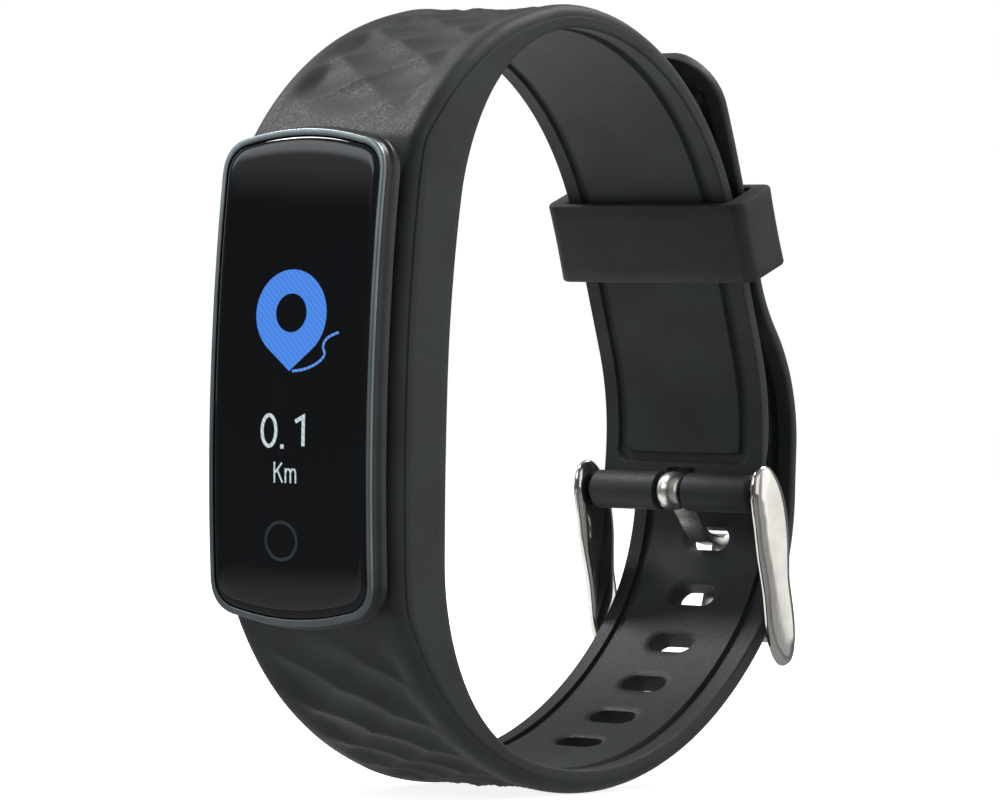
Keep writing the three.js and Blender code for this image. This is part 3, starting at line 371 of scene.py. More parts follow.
def skin_depth(x, u, sign):
    low, high = PANELS[sign]
    qx = abs(x) - (PANEL_HALF - PANEL_CORNER)
    qu = abs(u - (low + high) / 2) - ((high - low) / 2 - PANEL_CORNER)
    past_corner = np.hypot(np.maximum(qx, 0), max(qu, 0)) + np.minimum(np.maximum(qx, qu), 0)
    outside = past_corner - PANEL_CORNER
    channel = smooth(outside / SOFT_STEP) * smooth((CHANNEL_WIDTH - outside) / SOFT_STEP)
    return CHANNEL_DEPTH * channel + RIM_DEPTH * smooth((outside - CHANNEL_WIDTH + SOFT_STEP) / SOFT_STEP)


def lip(x, u, sign):
    """How far a face drops towards the nearest slot's edge."""
    if sign < 0:
        return np.zeros_like(x)
    nearest = min(SLOTS, key=lambda slot: abs(slot - u))
    straight = (SLOT_LENGTH - SLOT_WIDTH) / 2
    off = np.hypot(np.maximum(np.abs(x) - straight, 0), u - nearest) - SLOT_WIDTH / 2
    return LIP_DROP * np.clip(1 - off / LIP_REACH, 0, 1) ** 2


print(len(SLOTS), "slots,", SLOT_PITCH, "mm apart")

# %% [markdown]
# ## One skin from end to end
# The strap is a swept surface: hundreds of sections, set closer together where there is relief to carry.
# Each point also keeps four attributes: how far along and across it lies, its outward direction, and how
# much relief it may take. The relief itself comes in the next step, from a node tree that reads them.

# %% Sweep the strap
def stations():
    """Distances along each part, from the buckle end round to the tip of the tail."""
    body = LONG_LENGTH - TAIL_CORNER
    short = [*np.arange(0, 19, 0.8), *np.arange(19, 60, 0.3), *np.arange(60, SHORT_LENGTH, 0.6)]
    long = [*np.arange(0.8, 19, 0.8), *np.arange(19, 58, 0.3), *np.arange(58, body, 0.6)]
    long += [body + TAIL_CORNER * math.sin(math.radians(a)) for a in range(0, 91, 6)]
    for slot in SLOTS:
        long += list(slot + np.arange(-1.65, 1.66, 0.3))
    for chosen, sign in ((short, -1), (long, 1)):
        for end, way in zip(PANELS[sign], (-1, 1)):
            chosen += [end + way * step for step in (0, 0.07, 0.14, 0.5, 0.96, 1.03, 1.1)]
    tidy = []
    for chosen, sign, last in ((short, -1, SHORT_LENGTH), (long, 1, LONG_LENGTH)):
        kept = []
        for u in sorted(chosen):
            if u < last - 0.06 and (not kept or u - kept[-1] > 0.06):
                kept.append(u)
        tidy.append([(u, sign) for u in kept + [last]])
    return tidy[0][::-1] + tidy[1]


TIP_REACH, TIP_DROP = 1.1, 0.9


def tip_drop(u, sign):
    """The outer face rolls over at the tip of the tail as it does along the sides."""
    left = LONG_LENGTH - u
    if sign < 0 or left >= TIP_REACH:
        return 0.0
    return TIP_DROP * (1 - math.sqrt(1 - (1 - left / TIP_REACH) ** 2))


# Where the relief lies: clear of the edges, and from beside the pod to where the strap runs plain.
PLAIN_EDGE, EDGE_FADE = 1.5, 2.4
RELIEF_FROM, RELIEF_TO = 20, {-1: 54, 1: 47}
RELIEF_RISE, RELIEF_FALL = 4.5, 11
RELIEF_SHIFT = {-1: 0.0, 1: 0.85}


def swept_strap():
    rows, along, across, outward, relief = [], [], [], [], []
    for u, sign in stations():
        at, out = walk(SHORT_RUN if sign < 0 else LONG_RUN, sign, u)
        half, thick = half_width(u, sign), thickness(u, sign)
        part = half_section(half, thick, tip_drop(u, sign))
        loop = np.concatenate([part, part[-2:0:-1] * (-1, 1, 1)])
        x, height, outer = loop.T
        inner = outer == 0
        level = height < 0.01
        height = np.where(level, skin_depth(x, u, sign) + lip(x, u, sign), height)
        height = np.where(outer == 1, height - lip(x, u, sign), height)
        band = smooth((half - PLAIN_EDGE - np.abs(x)) / EDGE_FADE) * np.where(inner, 0.0, 1.0)
        fade = smooth((u - RELIEF_FROM) / RELIEF_RISE)
        fade *= 1 - smooth((u - RELIEF_TO[sign]) / RELIEF_FALL)
        rows.append(np.stack([x, at[0] + out[0] * height, at[1] + out[1] * height], 1))
        along.append(np.full(len(x), u - RELIEF_SHIFT[sign]))
        across.append(x)
        outward.append(np.tile([0.0, out[0], out[1]], (len(x), 1)))
        relief.append(band * fade)
    count, size = len(rows), len(rows[0])
    i, j = np.meshgrid(np.arange(count - 1), np.arange(size), indexing="ij")
    a, b = i * size + j, i * size + (j + 1) % size
    faces = np.stack([a, b, b + size, a + size], -1).reshape(-1, 4).tolist()
    faces += [list(range(size))[::-1], list(range((count - 1) * size, count * size))]
    mesh = bpy.data.meshes.new("strap_skin")
    mesh.from_pydata((np.concatenate(rows) * MM).tolist(), [], faces)
    for name, kind, data in (
        ("along", "FLOAT", np.concatenate(along) * MM), ("across", "FLOAT", np.concatenate(across) * MM),
        ("outward", "FLOAT_VECTOR", np.concatenate(outward)), ("relief", "FLOAT", np.concatenate(relief)),
    ):
        field = "vector" if kind == "FLOAT_VECTOR" else "value"
        mesh.attributes.new(name, kind, "POINT").data.foreach_set(field, data.astype(np.float32).ravel())
    return into_scene("strap_skin", mesh)


skin = swept_strap()
print("strap skin:", len(skin.data.vertices), "points")

# %% [markdown]
# ## Carved relief with geometry nodes
# The outside is covered with shallow dishes that meet in sharp crests, like gouge cuts in wood. Two
# families of crests cross at the same slant, one deeper than the other, which gives the diamond quilt.
# Each family is a parabola that repeats: the distance along the strap, sheared by the distance across, is
# divided by the pitch, and its fraction is turned into a dish. A node tree is the right tool, since one
# rule makes all of the hundred or so dishes, and its named inputs let the pitch, slant and depth be tried
# by hand.

# %% Helpers for node modifiers
def new_tree(name, numbers):
    """A geometry node tree with a mesh in, a mesh out, a material and named numbers."""
    tree = bpy.data.node_groups.new(name, "GeometryNodeTree")
    tree.interface.new_socket("Geometry", in_out="INPUT", socket_type="NodeSocketGeometry")
    for label, value in numbers.items():
        socket = tree.interface.new_socket(label, in_out="INPUT", socket_type="NodeSocketFloat")
        socket.default_value = value
    tree.interface.new_socket("Finish", in_out="INPUT", socket_type="NodeSocketMaterial")
    tree.interface.new_socket("Geometry", in_out="OUTPUT", socket_type="NodeSocketGeometry")
    return tree, add(tree, "NodeGroupInput").outputs


def end_tree(tree, geometry, finish):
    real = add(tree, "GeometryNodeRealizeInstances", {}, {"Geometry": geometry})
    painted = add(tree, "GeometryNodeSetMaterial", {}, {"Geometry": real.outputs[0], "Material": finish})
    add(tree, "NodeGroupOutput", {}, {"Geometry": painted.outputs[0]})


def grow(source, tree, values, name):
    """Runs a tree on an object and returns the result as a plain object."""
    modifier = source.modifiers.new("nodes", "NODES")
    modifier.node_group = tree
    for item in tree.interface.items_tree:
        if item.in_out == "INPUT" and item.name in values:
            modifier[item.identifier] = values[item.name]
    source.update_tag()
    bpy.context.view_layer.update()
    settled = source.evaluated_get(bpy.context.evaluated_depsgraph_get())
    mesh = bpy.data.meshes.new_from_object(settled)
    mesh.name = name
    bpy.data.objects.remove(source)
    return into_scene(name, mesh)


print("node helpers ready")

# %% Relief on the strap
PITCH, SLANT, CROSS_SHARE = 5.3, 0.58, 0.36
MAIN_START, CROSS_START = 20.4, 24.6
RELIEF_DEPTH, DISH_POWER = 0.8, 1.8


def family(tree, along, across, pitch, slant, start, sign):
    """One family of dishes: 1 on a crest, 0 in the middle of a dish."""
    sheared = calc(tree, "MULTIPLY", across, slant)
    line = calc(tree, "SUBTRACT" if sign > 0 else "ADD", along, sheared)
    turns = calc(tree, "DIVIDE", calc(tree, "SUBTRACT", line, start * MM), pitch)
    centred = calc(tree, "MULTIPLY_ADD", calc(tree, "FRACT", turns), 2.0, -1.0)
    return calc(tree, "POWER", calc(tree, "ABSOLUTE", centred), DISH_POWER)


def named(tree, kind, label):
    return add(tree, "GeometryNodeInputNamedAttribute", {"data_type": kind}, {"Name": label}).outputs[0]


def relief_tree():
    tree, inputs = new_tree("carved_relief", {
        "Pitch": PITCH * MM, "Slant": SLANT, "Depth": RELIEF_DEPTH * MM, "Cross share": CROSS_SHARE,
    })
    along, across = named(tree, "FLOAT", "along"), named(tree, "FLOAT", "across")
    main = family(tree, along, across, inputs["Pitch"], inputs["Slant"], MAIN_START, 1)
    cross = family(tree, along, across, inputs["Pitch"], inputs["Slant"], CROSS_START, -1)
    both = add(tree, "ShaderNodeMix", {"data_type": "FLOAT"}, {0: inputs["Cross share"], 2: main, 3: cross})
    deep = calc(tree, "MULTIPLY", calc(tree, "SUBTRACT", both.outputs[0], 1.0), inputs["Depth"])
    shift = add(tree, "ShaderNodeVectorMath", {"operation": "SCALE"}, {
        0: named(tree, "FLOAT_VECTOR", "outward"),
        "Scale": calc(tree, "MULTIPLY", deep, named(tree, "FLOAT", "relief")),
    })
    moved = add(tree, "GeometryNodeSetPosition", {}, {
        "Geometry": inputs["Geometry"], "Offset": shift.outputs[0],
    })
    end_tree(tree, moved.outputs[0], inputs["Finish"])
    return tree


strap = grow(skin, relief_tree(), {"Depth": RELIEF_DEPTH * MM, "Finish": strap_silicone}, "strap_moulding")
print("relief carved:", len(strap.data.polygons), "faces")

# %% [markdown]
# ## Solids to cut and join
# The window for the pod, the slots, the bore and the notch go right through the strap, so they are cut
# with booleans. A cutter is a closed prism or a bar. Every one is made by the same two functions: lofted
# rings of points, and a loft with rounded ends that serves for bars.

# %% Loft and boolean helpers
def mesh_object(name, points, faces, finish):
    mesh = bpy.data.meshes.new(name)
    mesh.from_pydata((np.asarray(points) * MM).tolist(), [], faces)
    mesh.materials.append(finish)
    return into_scene(name, mesh)


def loft(name, rings, finish, closed=False):
    """Joins rings of equal point counts. The two ends are capped, unless the last ring meets the first."""
    size, count = len(rings[0]), len(rings)
    faces = []
    for i in range(count if closed else count - 1):
        a, b = i * size, ((i + 1) % count) * size
        faces += [[a + j, a + (j + 1) % size, b + (j + 1) % size, b + j] for j in range(size)]
    if not closed:
        faces += [list(range(size))[::-1], list(range((count - 1) * size, count * size))]
    made = mesh_object(name, np.concatenate(rings), faces, finish)
    face_outwards(made)
    return made


def face_outwards(piece):
    """Turns the faces of a closed mesh outwards, told by the sign of its volume."""
    mesh = piece.data
    mesh.calc_loop_triangles()
    corners = np.array([v.co for v in mesh.vertices])
    triangles = corners[np.array([t.vertices[:] for t in mesh.loop_triangles])]
    volume = np.einsum("ij,ij->i", triangles[:, 0], np.cross(triangles[:, 1], triangles[:, 2])).sum()
    if volume < 0:
        mesh.flip_normals()


def boolean(target, tool, operation):
    modifier = target.modifiers.new("boolean", "BOOLEAN")
    modifier.operation, modifier.solver, modifier.object = operation, "MANIFOLD", tool
    settled = target.evaluated_get(bpy.context.evaluated_depsgraph_get())
    result = bpy.data.meshes.new_from_object(settled)
    target.modifiers.remove(modifier)
    old, target.data = target.data, result
    result.name = target.name
    bpy.data.meshes.remove(old)
    bpy.data.objects.remove(tool)


def soften(piece, degrees=32):
    """Smooth shading, with edges sharper than an angle left crisp."""
    piece.data.polygons.foreach_set("use_smooth", [True] * len(piece.data.polygons))
    piece.data.set_sharp_from_angle(angle=math.radians(degrees))


def bar_rings(radius, x0, x1, y, z, round_off=0.0, sides=48):
    """Rings of a bar along X, its ends rounded off."""
    turn = np.linspace(0, 2 * math.pi, sides, endpoint=False)
    ends = [(x0 + round_off * (1 - math.sin(a)), radius - round_off * (1 - math.cos(a)))
            for a in np.radians([90, 60, 30, 0])] if round_off else [(x0, radius)]
    ends += [(x1 + x0 - x, r) for x, r in ends[::-1]]
    return [np.stack([np.full(sides, x), y + r * np.cos(turn), z + r * np.sin(turn)], 1) for x, r in ends]


print("loft and boolean helpers ready")

# %% [markdown]
# ## Adjusting slots
# Twelve slots stand at an even pitch along the tail. They repeat and follow a path, so a node tree puts
# one stadium-shaped punch on each point and turns it to the strap's own outward direction.

# %% Punches for the slots
SLOT_START = 0.15  # less than the gap to the short part, which the punches must not touch
PUNCH_REACH = SLOT_START + 4
JUST_HALF = 0.4999  # of the width: a full half would make the fillet's points meet


def punch_tree():
    tree, inputs = new_tree("slot_punches", {
        "Length": SLOT_LENGTH * MM, "Width": SLOT_WIDTH * MM, "Reach": PUNCH_REACH * MM,
    })
    box = add(tree, "GeometryNodeCurvePrimitiveQuadrilateral", {}, {
        "Width": inputs["Length"], "Height": inputs["Width"],
    })
    outline = add(tree, "GeometryNodeFilletCurve", {"mode": "POLY"}, {
        "Curve": box.outputs[0], "Radius": calc(tree, "MULTIPLY", inputs["Width"], JUST_HALF), "Count": 8,
    })
    filled = add(tree, "GeometryNodeFillCurve", {}, {"Curve": outline.outputs[0]})
    up = add(tree, "ShaderNodeCombineXYZ", {}, {"Z": inputs["Reach"]})
    pushed = add(tree, "GeometryNodeExtrudeMesh", {}, {
        "Mesh": filled.outputs[0], "Offset": up.outputs[0], "Offset Scale": 1.0, "Individual": False,
    })
    floor = add(tree, "GeometryNodeFlipFaces", {}, {"Mesh": filled.outputs[0]})
    joined = add(tree, "GeometryNodeJoinGeometry")
    tree.links.new(pushed.outputs[0], joined.inputs[0])
    tree.links.new(floor.outputs[0], joined.inputs[0])
    closed = add(tree, "GeometryNodeMergeByDistance", {}, {"Geometry": joined.outputs[0], "Distance": 1e-6})
    turned = add(tree, "FunctionNodeAlignRotationToVector", {"axis": "Z", "pivot_axis": "X"}, {
        "Vector": named(tree, "FLOAT_VECTOR", "outward"),
    })
    placed = add(tree, "GeometryNodeInstanceOnPoints", {}, {
        "Points": inputs["Geometry"], "Instance": closed.outputs[0], "Rotation": turned.outputs[0],
    })
    end_tree(tree, placed.outputs[0], inputs["Finish"])
    return tree


def slot_points():
    places = [walk(LONG_RUN, 1, u) for u in SLOTS]
    starts = [(0, *(at - SLOT_START * out)) for at, out in places]
    points = mesh_object("slot_points", starts, [], strap_silicone)
    field = points.data.attributes.new("outward", "FLOAT_VECTOR", "POINT")
    field.data.foreach_set("vector", np.array([(0, *out) for at, out in places], np.float32).ravel())
    return points


punches = grow(slot_points(), punch_tree(), {"Finish": strap_silicone}, "slot_punches")
print("punches:", len(punches.data.polygons), "faces")
boolean(strap, punches, "DIFFERENCE")
print("slots cut:", len(strap.data.polygons), "faces")

# %% [markdown]
# ## The roll, its bore and the notch
# At the buckle end the silicone is moulded into a roll round the spring bar. A notch in its middle leaves
# room for the tang to swing. The roll is joined on, then the bore and the notch are cut.

# %% Roll, bore and notch
def bar_centre():
    at, out = walk(SHORT_RUN, -1, SHORT_LENGTH)
    return at - 0.5 * out


BAR = bar_centre()
ROLL_RADIUS, TUBE_RADIUS = 1.9, 0.9
TANG_WIDTH, TANG_THICK = 2.4, 0.9
NOTCH_HALF, NOTCH_DEEP = 1.7, 2.4
half = WIDTH / 2
roll = loft("roll", bar_rings(ROLL_RADIUS, -half, half, *BAR, round_off=0.35), strap_silicone)
boolean(strap, roll, "UNION")
bore = loft("bore", bar_rings(TUBE_RADIUS + 0.2, -half - 1, half + 1, *BAR), strap_silicone)
boolean(strap, bore, "DIFFERENCE")


def rounded_rectangle(width, height, radius, steps=6):
    points = []
    for start, sx, sy in ((0, 1, 1), (90, -1, 1), (180, -1, -1), (270, 1, -1)):
        for a in np.radians(np.linspace(start, start + 90, steps)):
            x = sx * (width / 2 - radius) + radius * math.cos(a)
            z = sy * (height / 2 - radius) + radius * math.sin(a)
            points.append((x, z))
    return np.array(points)


notch_face = rounded_rectangle(2 * NOTCH_HALF, 2 * NOTCH_DEEP, 0.35)
notch_rings = [
    np.stack([notch_face[:, 0], np.full(len(notch_face), BAR[0] + reach), BAR[1] + notch_face[:, 1]], 1)
    for reach in (-4, 4)
]
boolean(strap, loft("notch", notch_rings, strap_silicone), "DIFFERENCE")
print("roll joined at", np.round(BAR, 2))

# %% [markdown]
# ## The pod's outline
# Every layer of the pod shares one outline: straight sides, rounded corners and gently bowed ends. Each
# layer also follows the curved front, an arc of 190 mm radius seen from the side. One function gives the
# outline at any inset and one puts it at any depth behind the front, so glass, bezel and housing stay
# nested.

# %% Outline and front curve
POD_FRONT_Y, POD_CURVE = -36.0, 190.0
BEZEL_WIDTH, BEZEL_HEIGHT, BEZEL_CORNER, END_ARCH = 18.2, 44.2, 3.0, 1.1
BODY_WIDTH, BODY_HEIGHT, BODY_CORNER = 14.4, 39.0, 2.6
BODY_BACK_Y, COVER_BACK_Y = -26.3, -25.04


def bend_through(a, b, c, steps):
    t = np.linspace(0, 1, steps, endpoint=False)[:, None]
    return (1 - t) ** 2 * np.array(a) + 2 * t * (1 - t) * np.array(b) + t**2 * np.array(c)


def pod_outline(width, height, corner, arch):
    w, h = width / 2, height / 2
    shoulder = h - arch
    low, rise, crown = shoulder - corner, shoulder + arch * 0.35, h + arch * 0.65
    side = np.stack([np.full(16, w), np.linspace(-low, low, 16, endpoint=False)], 1)
    corner_arc = bend_through((w, low), (w, shoulder), (w - corner, rise), 10)
    end_arc = bend_through((w - corner, rise), (0, crown), (corner - w, rise), 20)
    other = bend_through((corner - w, rise), (-w, shoulder), (-w, low), 10)
    half_loop = np.concatenate([side, corner_arc, end_arc, other])
    return np.concatenate([half_loop, -half_loop])


def front_y(z):
    return POD_FRONT_Y + POD_CURVE - np.sqrt(POD_CURVE**2 - z**2)


def pod_ring(inset, depth, scale=1.0, ends=1.0):
    """The outer outline drawn in by an inset, laid at a depth behind the curved front."""
    outline = pod_outline(
        BEZEL_WIDTH - 2 * inset, BEZEL_HEIGHT - 2 * inset * ends, max(0.4, BEZEL_CORNER - inset), END_ARCH,
    ) * scale
    return np.stack([outline[:, 0], front_y(outline[:, 1]) + depth, outline[:, 1]], 1)


def body_ring(inset, y=None, depth=None):
    """The narrower body that passes through the strap, at a fixed Y or at a depth behind the front."""
    outline = pod_outline(BODY_WIDTH - 2 * inset, BODY_HEIGHT - 2 * inset, BODY_CORNER - 0.6 * inset, 0.4)
    across = np.full(len(outline), y) if depth is None else front_y(outline[:, 1]) + depth
    return np.stack([outline[:, 0], across, outline[:, 1]], 1)


FULL_SCALES = (0.02, 0.2, 0.4, 0.6, 0.8)
front_cut = [pod_ring(-1.2, -6, s, 0.35) for s in (*FULL_SCALES, 1.0)]
front_cut += [pod_ring(-1.2, 3.12, s, 0.35) for s in (1.0, *FULL_SCALES[::-1])]
boolean(strap, loft("front_cut", front_cut, strap_silicone), "DIFFERENCE")
window = loft("window", [body_ring(-0.2, y) for y in (-40, -20)], strap_silicone)
boolean(strap, window, "DIFFERENCE")
soften(strap, 30)
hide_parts("strap")
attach(strap, "strap")
strap.data.calc_loop_triangles()
print("strap finished:", len(strap.data.loop_triangles), "triangles")

# %% [markdown]
# ## Glass, bezel and housing
# Each is a loft of rings that share the outline. The glass rolls down at its rim, as ground glass does.
# The bezel is a slim satin frame. The housing shows as a dark wall behind it, with a moulded bead that
# catches the light.

# %% Glass
GLASS_IN, GLASS_THICK, RIM_ROLL, RIM_DROP = 0.58, 1.0, 0.7, 0.34
glass_rings = [pod_ring(GLASS_IN + 0.05, GLASS_THICK, s, 1.25) for s in (*FULL_SCALES, 1.0)]
glass_rings += [pod_ring(GLASS_IN, depth, 1.0, 1.25) for depth in (GLASS_THICK - 0.05, RIM_DROP + 0.06)]
for a in np.radians(np.linspace(0, 90, 9)):
    inset = GLASS_IN + RIM_ROLL * (1 - math.cos(a))
    glass_rings.append(pod_ring(inset, RIM_DROP * (1 - math.sin(a)), 1.0, 1.2))
glass_rings += [pod_ring(GLASS_IN + RIM_ROLL, 0, s, 1.2) for s in np.linspace(0.96, 0.04, 22)]
glass = loft("glass_front", glass_rings, display_glass)
soften(glass, 50)
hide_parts("glass_lens")
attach(glass, "pod")
print("glass:", len(glass.data.polygons), "faces")

# %% Bezel
BEZEL_PROFILE = (
    # inset, depth behind the front
    (0.0, 0.46), (0.0, 0.24), (0.03, 0.17), (0.1, 0.125), (0.2, 0.115), (0.38, 0.12), (0.46, 0.15),
    (0.5, 0.24),
    (0.5, 0.7), (0.5, 1.2), (0.2, 1.2), (0.17, 0.8), (0.17, 0.5),
)
bezel = loft("bezel_frame_ring", [pod_ring(inset, depth, 1.0, 1.3 if inset > 0.3 else 1.0)
                                  for inset, depth in BEZEL_PROFILE], bezel_metal, closed=True)
soften(bezel, 40)
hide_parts("bezel_frame")
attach(bezel, "pod")
print("bezel:", len(bezel.data.polygons), "faces")

# %% Housing
WALL_PROFILE = (
    # inset, depth behind the front
    (0.1, 1.3), (0.1, 0.52), (0.02, 0.5), (0.0, 0.56), (0.0, 1.0), (-0.02, 1.14), (-0.1, 1.24), (-0.2, 1.36),
    (-0.26, 1.52), (-0.25, 1.68), (-0.17, 1.82), (-0.02, 1.92), (0.1, 1.98), (0.14, 2.3), (0.16, 2.7),
    (0.25, 2.8),
)
housing_rings = [body_ring(1.0, depth=1.3)] + [pod_ring(inset, depth) for inset, depth in WALL_PROFILE]
housing_rings += [body_ring(0, depth=2.82), body_ring(0, y=-30), body_ring(0, y=BODY_BACK_Y - 0.1)]
housing_rings += [body_ring(0.08, y=BODY_BACK_Y), body_ring(1.0, y=BODY_BACK_Y), body_ring(1.0, y=-30)]
housing = loft("housing_shell", housing_rings, housing_plastic, closed=True)
soften(housing, 35)
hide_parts("housing")
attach(housing, "pod")
print("housing:", len(housing.data.polygons), "faces")

# %% [markdown]
# ## Rear cover
# The skin side of the pod is a plate with a low round bump for the optical sensor. Four small screws hold
# it, and two gold contacts take the charging clip. Recesses are cut with booleans, and then the parts are
# set in.

# %% Cover, window and contacts
SENSOR_Z, WINDOW_RADIUS, BUMP_RISE = 2.0, 4.2, 0.5
CONTACT_X, CONTACT_Z = 2.5, -12.5
SCREW_X, SCREW_Z = BODY_WIDTH / 2 - 1.91, BODY_HEIGHT / 2 - 2.31


def turned(name, profile, x, z, finish, sides=64):
    """A lathe-turned piece along Y: rings of (radius, y) round a point."""
    a = np.linspace(0, 2 * math.pi, sides, endpoint=False)
    rings = [np.stack([x + r * np.cos(a), np.full(sides, y), z + r * np.sin(a)], 1) for r, y in profile]
    return loft(name, rings, finish)


cover_profile = (
    # inset, y
    (0.0, -26.0), (0.0, -25.32), (0.04, -25.2), (0.12, -25.1), (0.24, -25.05), (0.4, COVER_BACK_Y),
)
cover = loft("rear_cover_plate", [body_ring(inset, y=y) for inset, y in cover_profile], housing_plastic)
back_y = COVER_BACK_Y
bump = turned("bump", (
    (6.5, back_y - 0.3), (6.5, back_y - 0.02), (6.42, back_y + 0.03), (6.2, back_y + 0.2),
    (5.98, back_y + 0.38), (5.75, back_y + 0.47), (5.5, back_y + BUMP_RISE), (4.6, back_y + BUMP_RISE),
), 0, SENSOR_Z, housing_plastic)
boolean(cover, bump, "UNION")
recesses = [(0, SENSOR_Z, WINDOW_RADIUS + 0.12, 1.4)]
recesses += [(side * CONTACT_X, CONTACT_Z, 1.18, 0.4) for side in (-1, 1)]
recesses += [(sx * SCREW_X, sz * SCREW_Z, 1.0, 0.62) for sx in (-1, 1) for sz in (-1, 1)]
for x, z, radius, deep in recesses:
    lip_y = back_y - 0.08 if radius < 4 else back_y
    pocket = turned("pocket", (
        (radius, back_y - deep), (radius, lip_y), (radius + 0.1, back_y + 0.02), (radius + 0.1, back_y + 2),
    ), x, z, housing_plastic, 48)
    boolean(cover, pocket, "DIFFERENCE")
soften(cover, 35)
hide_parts("rear_cover")
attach(cover, "pod")

lens = turned("sensor_lens_disc", (
    (WINDOW_RADIUS - 0.1, back_y - 0.8), (WINDOW_RADIUS, back_y - 0.7), (WINDOW_RADIUS, back_y + 0.4),
    (WINDOW_RADIUS - 0.06, back_y + 0.44), (WINDOW_RADIUS - 0.3, back_y + 0.46), (3.0, back_y + 0.48),
    (1.5, back_y + 0.495), (0.05, back_y + 0.5),
), 0, SENSOR_Z, sensor_lens)
soften(lens, 40)
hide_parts("sensor_window")
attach(lens, "pod")

for side, label in ((-1, "left"), (1, "right")):
    pin = turned("contact_pad_" + label, (
        (0.9, back_y - 0.38), (1.0, back_y - 0.34), (1.0, back_y - 0.02), (0.96, back_y + 0.03),
        (0.8, back_y + 0.07), (0.4, back_y + 0.095), (0.03, back_y + 0.1),
    ), side * CONTACT_X, CONTACT_Z, contact_gold, 40)
    soften(pin, 45)
    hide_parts("charge_contact_" + label)
    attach(pin, "pod")
print("cover:", len(cover.data.polygons), "faces")

# %% [markdown]
# ## Cover screws
# Four screws are the same turned head with a cross recess, so the head is made once, as lofted rings, and
# a node tree sets a copy on each point. Instances keep the scene light while it is built, and are made
# real at the end because an export can't carry them.

# %% Screws on points
def screw_head():
    head = turned("screw_head", (
        (0.5, -1.8), (0.5, -0.5), (0.85, -0.46), (0.85, -0.14), (0.8, -0.07), (0.66, -0.02), (0.45, 0.0),
        (0.03, 0.01),
    ), 0, 0, screw_steel, 32)
    for wide, tall in ((0.62, 0.1), (0.1, 0.62)):
        bit = [
            np.array([(x * wide * s, y, z * tall * s) for x, z in ((-1, -1), (1, -1), (1, 1), (-1, 1))])
            for y, s in ((-0.3, 0.7), (0.4, 1.1))
        ]
        boolean(head, loft("bit", bit, screw_steel), "DIFFERENCE")
    return head


def screw_tree(head):
    tree, inputs = new_tree("cover_screws", {"Size": 1.0})
    source = add(tree, "GeometryNodeObjectInfo", {"transform_space": "ORIGINAL"}, {"Object": head})
    placed = add(tree, "GeometryNodeInstanceOnPoints", {}, {
        "Points": inputs["Geometry"], "Instance": source.outputs["Geometry"], "Scale": inputs["Size"],
    })
    end_tree(tree, placed.outputs[0], inputs["Finish"])
    return tree


head = screw_head()
places = [(sx * SCREW_X, back_y - 0.1, sz * SCREW_Z) for sx in (-1, 1) for sz in (-1, 1)]
screw_points = mesh_object("screw_points", places, [], screw_steel)
screws = grow(screw_points, screw_tree(head), {"Finish": screw_steel}, "cover_screws")
bpy.data.objects.remove(head)
soften(screws, 35)
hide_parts("cover_screw_1", "cover_screw_2", "cover_screw_3", "cover_screw_4")
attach(screws, "pod")
print("screws:", len(screws.data.polygons), "faces")

# %% [markdown]
# ## Keeper
# The keeper is a moulded loop of silicone, square in section with soft corners, that holds the tail down.
# Two outlines, one outside and one inside, are lofted round its edges, so every edge is rounded by the
# rings.

# %% Keeper
KEEPER_AT, KEEPER_LENGTH = 77.8, 8.0
KEEPER_INNER, KEEPER_OUTER = (WIDTH + 0.6, 4.9), (WIDTH + 4.4, 6.7)


def keeper_ring(size, corner, shrink, along):
    at, out = walk(SHORT_RUN, -1, KEEPER_AT)
    travel = np.array([out[1], -out[0]])
    outline = rounded_rectangle(size[0] - 2 * shrink, size[1] - 2 * shrink, corner - shrink * 0.5, 9)
    height = outline[:, 1] + KEEPER_INNER[1] / 2 - 0.3
    spot = at + height[:, None] * out + along * travel
    return np.stack([outline[:, 0], spot[:, 0], spot[:, 1]], 1)


end = KEEPER_LENGTH / 2
outside = [
    (0.28, -end), (0.1, -end + 0.06), (0.0, -end + 0.24), (0.03, -2.4), (0.05, -0.8),
    (0.05, 0.8), (0.03, 2.4), (0.0, end - 0.24), (0.1, end - 0.06), (0.28, end),
]
inside = [(-0.12, end), (0.0, end - 0.14), (0.0, 0.0), (0.0, -end + 0.14), (-0.12, -end)]
keeper_rings = [keeper_ring(KEEPER_OUTER, 1.25, shrink, along) for shrink, along in outside]
keeper_rings += [keeper_ring(KEEPER_INNER, 0.6, shrink, along) for shrink, along in inside]
keeper = loft("keeper_loop", keeper_rings, keeper_silicone, closed=True)
soften(keeper, 40)
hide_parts("keeper")
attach(keeper, "keeper")
print("keeper:", len(keeper.data.polygons), "faces")

# %% [markdown]
# ## Buckle
# The buckle is one steel casting: two ears and the far bar. Each ear is a pebble with a wavy outline. It
# is lofted from its edge to its spine: each ring is the outline drawn towards the spine, and its height
# follows a superellipse, so the faces are nearly flat and the edge is fully round, which is what the
# polish needs.

